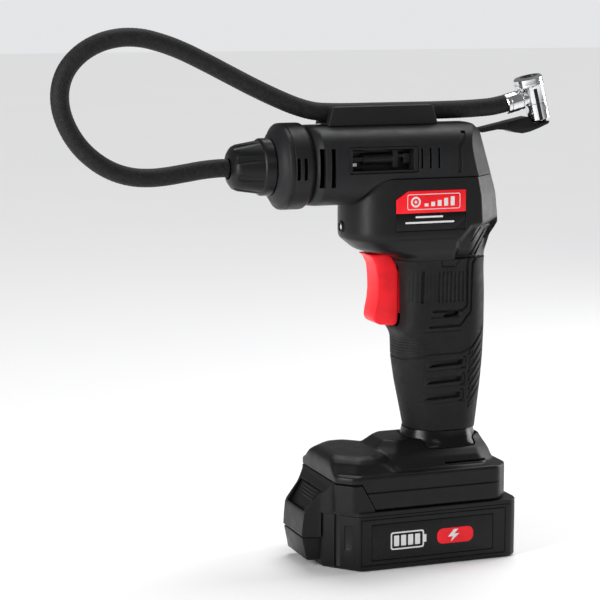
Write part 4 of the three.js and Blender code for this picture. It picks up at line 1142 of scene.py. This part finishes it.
def battery_label():
    face = -35.9
    label_depth = (face - 0.06, face + 0.05)
    plate = prism(rounded_outline(-35, 38, 6, 26, 1.2), face, -35.4, 0.1)
    settle(plate, "battery_label_piece", "battery", PRINT_DARK, "gloss_plastic", "battery_label")
    outline = carve(
        prism(rounded_outline(-24, -4, 11, 21, 1.4), *label_depth),
        prism(rounded_outline(-23.2, -4.8, 11.8, 20.2, 1.0), -60, 0),
    )
    settle(outline, "label_cell_frame", "battery", PRINT_WHITE)
    tip = prism(rounded_outline(-4, -2.6, 13.8, 18.2, 0.4), *label_depth)
    settle(tip, "label_cell_tip", "battery", PRINT_WHITE)
    for i in range(4):
        bar = prism(rounded_outline(-22 + i * 4.2, -19 + i * 4.2, 13, 19, 0.4), *label_depth)
        settle(bar, f"label_bar_{i + 1}", "battery", PRINT_WHITE)
    pill = prism(rounded_outline(4, 26, 11.6, 20.4, 3.6), *label_depth)
    settle(pill, "label_red_pill", "battery", PRINT_RED, "red_plastic")
    zigzag = [
        (14.2, 19.4), (10.6, 15.4), (13.6, 15.4), (12.4, 12.6), (17.4, 16.8), (14.4, 16.8), (16.8, 19.4),
    ]
    bolt = prism(zigzag, face - 0.12, face)
    settle(bolt, "label_bolt", "battery", PRINT_WHITE)


RELEASE = Matrix.Translation(Vector((-59.6, 0, 35.6)) * MM) @ Matrix.Rotation(math.radians(35.8), 4, "Y")


def wedge_slab(x0, x1, grow, radius):
    """A slab that widens from its lower edge to its upper one, in the release button's own frame."""
    upper, lower, high = 16.6 + grow, 12.4 + grow, 7 + grow
    corners = [(upper, high), (-upper, high), (-lower, -high), (lower, -high)]
    rings = np.array([[(x, y, z) for y, z in corners] for x in (x0, x1)])
    return placed(closed_skin("wedge", rings), radius, RELEASE)


def battery_upper():
    plate_rows = [(31, case_half(0)), (32.9, case_half(0)), (33.2, case_half(0.3))]
    front_rows = [(height, foot_half(inset)) for height, inset in [(33, 0), (47.9, 0), (48.7, 0.8)]]
    plate = stacked("plate", plate_rows, columns=420, blur=1.0)
    front = overlap(
        stacked("front", front_rows, 360, 1.2),
        prism([(-90, 32), (-90, 48.7), (-40.8, 48.7), (-33.4, 35.2), (-32.4, 32)], -FAR, FAR),
    )
    side = [
        (-50, 31), (-58.3, 31), (-58.3, 17.1), (-67.6, 17.1), (-68.4, 17.8), (-68, 24), (-67.2, 30.6),
        (-66.2, 32.6), (-56.6, 43.5), (-54.6, 46.2), (-53.3, 48.7), (-50, 48.7),
    ]
    plan = [(-50, 24), (-53.5, 23), (-59, 17.6), (-69, 15)]
    bulge = overlap(prism(side, -FAR, FAR), stacked("bulge_plan", [(10, plan), (60, plan)], blur=0.9))
    neck = block(-45, 40, -21.3, 21.3, 33, 39.2)
    head = block(-45, 40, -27.2, 27.2, 39, 48.3, radius=0.6)
    fuse(plate, front, bulge, neck, head)
    slots = [block(20.5, 60, y - 1.2, y + 1.2, 40.2, 60) for y in (-10, 0, 10)]
    carve(plate, block(-30, 38, -19, 19, 30, 38.4), *slots, wedge_slab(-12, 4.8, GAP, 0))
    rounded(plate, 0.35, 2, 40)
    settle(
        plate, "battery_case_upper_piece", "battery", CASE, "housing_plastic", "battery_case_upper",
        degrees=36,
    )


def release_button():
    cap = wedge_slab(-1.4, 1, 0, 0.6)
    rib_heights = (0.4, 2.2, 4.0, 5.8)
    ribs = [block(-2, -1.3, -11.4, 11.4, w - 0.5, w + 0.5, radius=0.3, matrix=RELEASE) for w in rib_heights]
    fuse(cap, *ribs)
    settle(cap, "release_button_piece", "release", CASE, "housing_plastic", "release_button", degrees=36)


# ---------------------------------------------------------------- lever chuck
CHUCK = Matrix.Translation(Vector((81.7, 0, 250.2)) * MM) @ Matrix.Rotation(math.radians(-14), 4, "Y")


def set_in_chuck(thing):
    thing.data.transform(CHUCK)
    return thing


def chuck():
    axis, collar, port = -2.4, -4.2, 7.3
    stem = turned(
        [
            (-7, 0), (-7, 4.6), (-6.7, 5.4), (-5.8, 6.3), (3.2, 6.3), (3.5, 6.1),
            (3.8, 6.1), (4.1, 6.3), (12.4, 6.3), (13, 6.6), (14, 6.6), (14, 0),
        ],
        (axis, 0, 0), "Z", 96, "stem",
    )
    top = turned(
        [
            (13.4, 0), (13.4, 7.5), (14.0, 8.2), (15.4, 8.2), (15.7, 7.9),
            (16.2, 7.9), (16.5, 8.2), (18, 8.2), (19, 7.3), (19, 0),
        ],
        (collar, 0, 0), "Z", 96, "top",
    )
    body = fuse(stem, top, rod(4, (-9, 0, port), (axis, 0, port), 64))
    tools = [
        rod(5, (collar + 0.8, 0, 9), (collar + 0.8, 0, 21), 64),
        block(-4, 10, -2.1, 2.1, -9, 3.6, radius=0.3),
        block(-4.9, -2.9, -9, -5.5, -9, 12, radius=0.4),
        block(-4.9, -2.9, 5.5, 9, -9, 12, radius=0.4),
        rod(1.6, (0, -10, 0), (0, 10, 0), 40),
    ]
    carve(body, *tools)
    # Painted shade: a thin dark rubber sheet on the floor of each side groove, so the shallow grooves read
    # dark.
    for side, name in ((-1, "near"), (1, "far")):
        near, far = sorted((side * 5.52, side * 5.85))
        groove_shade_sheet = set_in_chuck(block(-4.85, -2.95, near, far, -6.2, 11.9, radius=0.12))
        settle(groove_shade_sheet, f"chuck_groove_painted_shade_{name}", "housing", SEAL)
    set_in_chuck(body)
    settle(body, "chuck_body_piece", "housing", CHROME, "chrome", "chuck_body", degrees=28)
    sleeve = turned(
        [
            (-21.5, 0), (-21.5, 5.2), (-21, 5.7), (-19.6, 5.7), (-19.4, 5.45), (-18.9, 5.45),
            (-18.7, 5.7), (-12.4, 5.7), (-12.2, 5.45), (-11.8, 5.45), (-11.6, 5.7), (-11, 5.7),
            (-10.6, 5.3), (-10.6, 4.4), (-9.3, 4.4), (-9.3, 0),
        ],
        (0, 0, port), "X", 96, "ferrule",
    )
    set_in_chuck(sleeve)
    settle(sleeve, "hose_ferrule_piece", "housing", CHROME, "chrome", "hose_ferrule", degrees=28)


def chuck_lever():
    arc = [(10.8 * math.cos(math.radians(d)), 10.8 * math.sin(math.radians(d))) for d in range(193, 224, 3)]
    outline = [
        (-40.6, -1.2), *arc, (-7.4, -7.8), (1.1, -7.8), (1.6, -8.6), (0.2, -9.5), (-6, -10.4), (-12, -10.9),
        (-16.5, -10.6), (-21, -8.8), (-25, -6.2), (-31, -4.4), (-40.6, -3.6),
    ]
    arm = prism(outline, -5.2, 5.2, 0.7)
    carve(arm, block(-60, -24, -20, -4.2, -20, 20, radius=0.6), block(-60, -24, 4.2, 20, -20, 20, radius=0.6))
    tongue = fuse(block(-2.2, 1, -1.7, 1.7, -8.4, 0), rod(2.6, (0, -1.7, 0), (0, 1.7, 0), 48))
    fuse(arm, tongue)
    carve(arm, rod(1.6, (0, -10, 0), (0, 10, 0), 40))
    set_in_chuck(arm)
    settle(arm, "chuck_lever_piece", "chuck_lever", HOUSING, "cover_plastic", "chuck_lever", degrees=40)


cover()
nose_ring()
hose_nut()
hose_channel()
trigger()
badge()
lamp()
foot()
battery_lower()
battery_label()
battery_upper()
release_button()
chuck()
chuck_lever()

# ---------------------------------------------------------------- plain dressing of the CAD pieces
CAD_EDGE = 0.25  # edge rounding of the pieces that keep their CAD shape
CAD_LOOKS = [
    (COVER, ["accessory_tray"]),
    (GLOSS, ["display_bezel", "trigger_switch", "terminal_block"]),
    (WINDOW, ["display_lens"]),
    (SEAL, ["outlet_tube", "chuck_seal"]),
    (BUTTON, ["button_power", "button_mode", "button_minus", "button_plus"]),
    (BOARD, ["display_board", "button_board", "control_board", "battery_board"]),
    (STEEL, ["motor_can", "wrist_pin", "housing_screw_front", "housing_screw_rear", "lever_pin"]),
    (SPRING, ["trigger_spring", "release_spring", "accessory_clip"]),
    (COPPER, ["rotor"]),
    (NYLON, ["motor_end_bell", "cooling_fan", "crank_gear", "piston"]),
    (ALUMINIUM, ["gear_frame", "connecting_rod", "cylinder", "cylinder_head"]),
    (BRASS, ["motor_pinion", "outlet_fitting"]),
    (CELL, [f"cell_{i}" for i in range(1, 6)]),
]


def dress_cad():
    for material, names in CAD_LOOKS:
        for name in names:
            rounded(shade(dress(NODES[name], material)), CAD_EDGE, 2)


dress_cad()


# ---------------------------------------------------------------- floor and light
def stage():
    reach = 9000
    corners = [(-reach, -reach, 0), (reach, -reach, 0), (reach, reach, 0), (-reach, reach, 0)]
    floor = mesh_object("floor", corners, [[0, 1, 2, 3]])
    finish = Finish("floor_paper", (0.94, 0.94, 0.95), 0.8)
    finish.vary_colour(3, (0.95, 0.95, 0.95))
    dress(floor, finish.material)
    world = bpy.data.worlds.new("studio")
    bpy.context.scene.world = world
    world.use_nodes = True
    nodes, links = world.node_tree.nodes, world.node_tree.links
    nodes["Background"].inputs["Color"].default_value = (0.98, 0.985, 1.0, 1)
    seen = nodes.new("ShaderNodeMapRange")
    seen.inputs["To Min"].default_value = 0.2
    seen.inputs["To Max"].default_value = 0.80
    links.new(nodes.new("ShaderNodeLightPath").outputs["Is Camera Ray"], seen.inputs["Value"])
    links.new(seen.outputs["Result"], nodes["Background"].inputs["Strength"])
    data = bpy.data.lights.new("sky_sun", "SUN")
    data.energy = 2.0
    data.angle = math.radians(40)
    sun = new_object("sky_sun", data)
    sun.rotation_mode = "QUATERNION"
    sun.rotation_quaternion = Vector((-0.25, -0.35, -1)).to_track_quat("-Z", "Y")


def softbox(name, place, aim, width, height, power):
    data = bpy.data.lights.new(name, "AREA")
    data.shape = "RECTANGLE"
    data.size = width
    data.size_y = height
    data.energy = power
    lamp = new_object(name, data)
    lamp.location = place
    lamp.rotation_mode = "QUATERNION"
    lamp.rotation_quaternion = (Vector(aim) - Vector(place)).to_track_quat("-Z", "Y")


stage()
bpy.context.scene.view_settings.view_transform = "Standard"
MIDDLE = (-0.03, 0, 0.15)
softbox("key_left", (-1.05, -0.35, 0.45), MIDDLE, 0.22, 0.8, 9)
softbox("rim_right", (0.9, 0.10, 0.35), MIDDLE, 0.45, 1.0, 7)
softbox("front_soft", (-0.1, -1.2, 0.9), MIDDLE, 0.8, 0.3, 1.5)

bpy.context.view_layer.update()
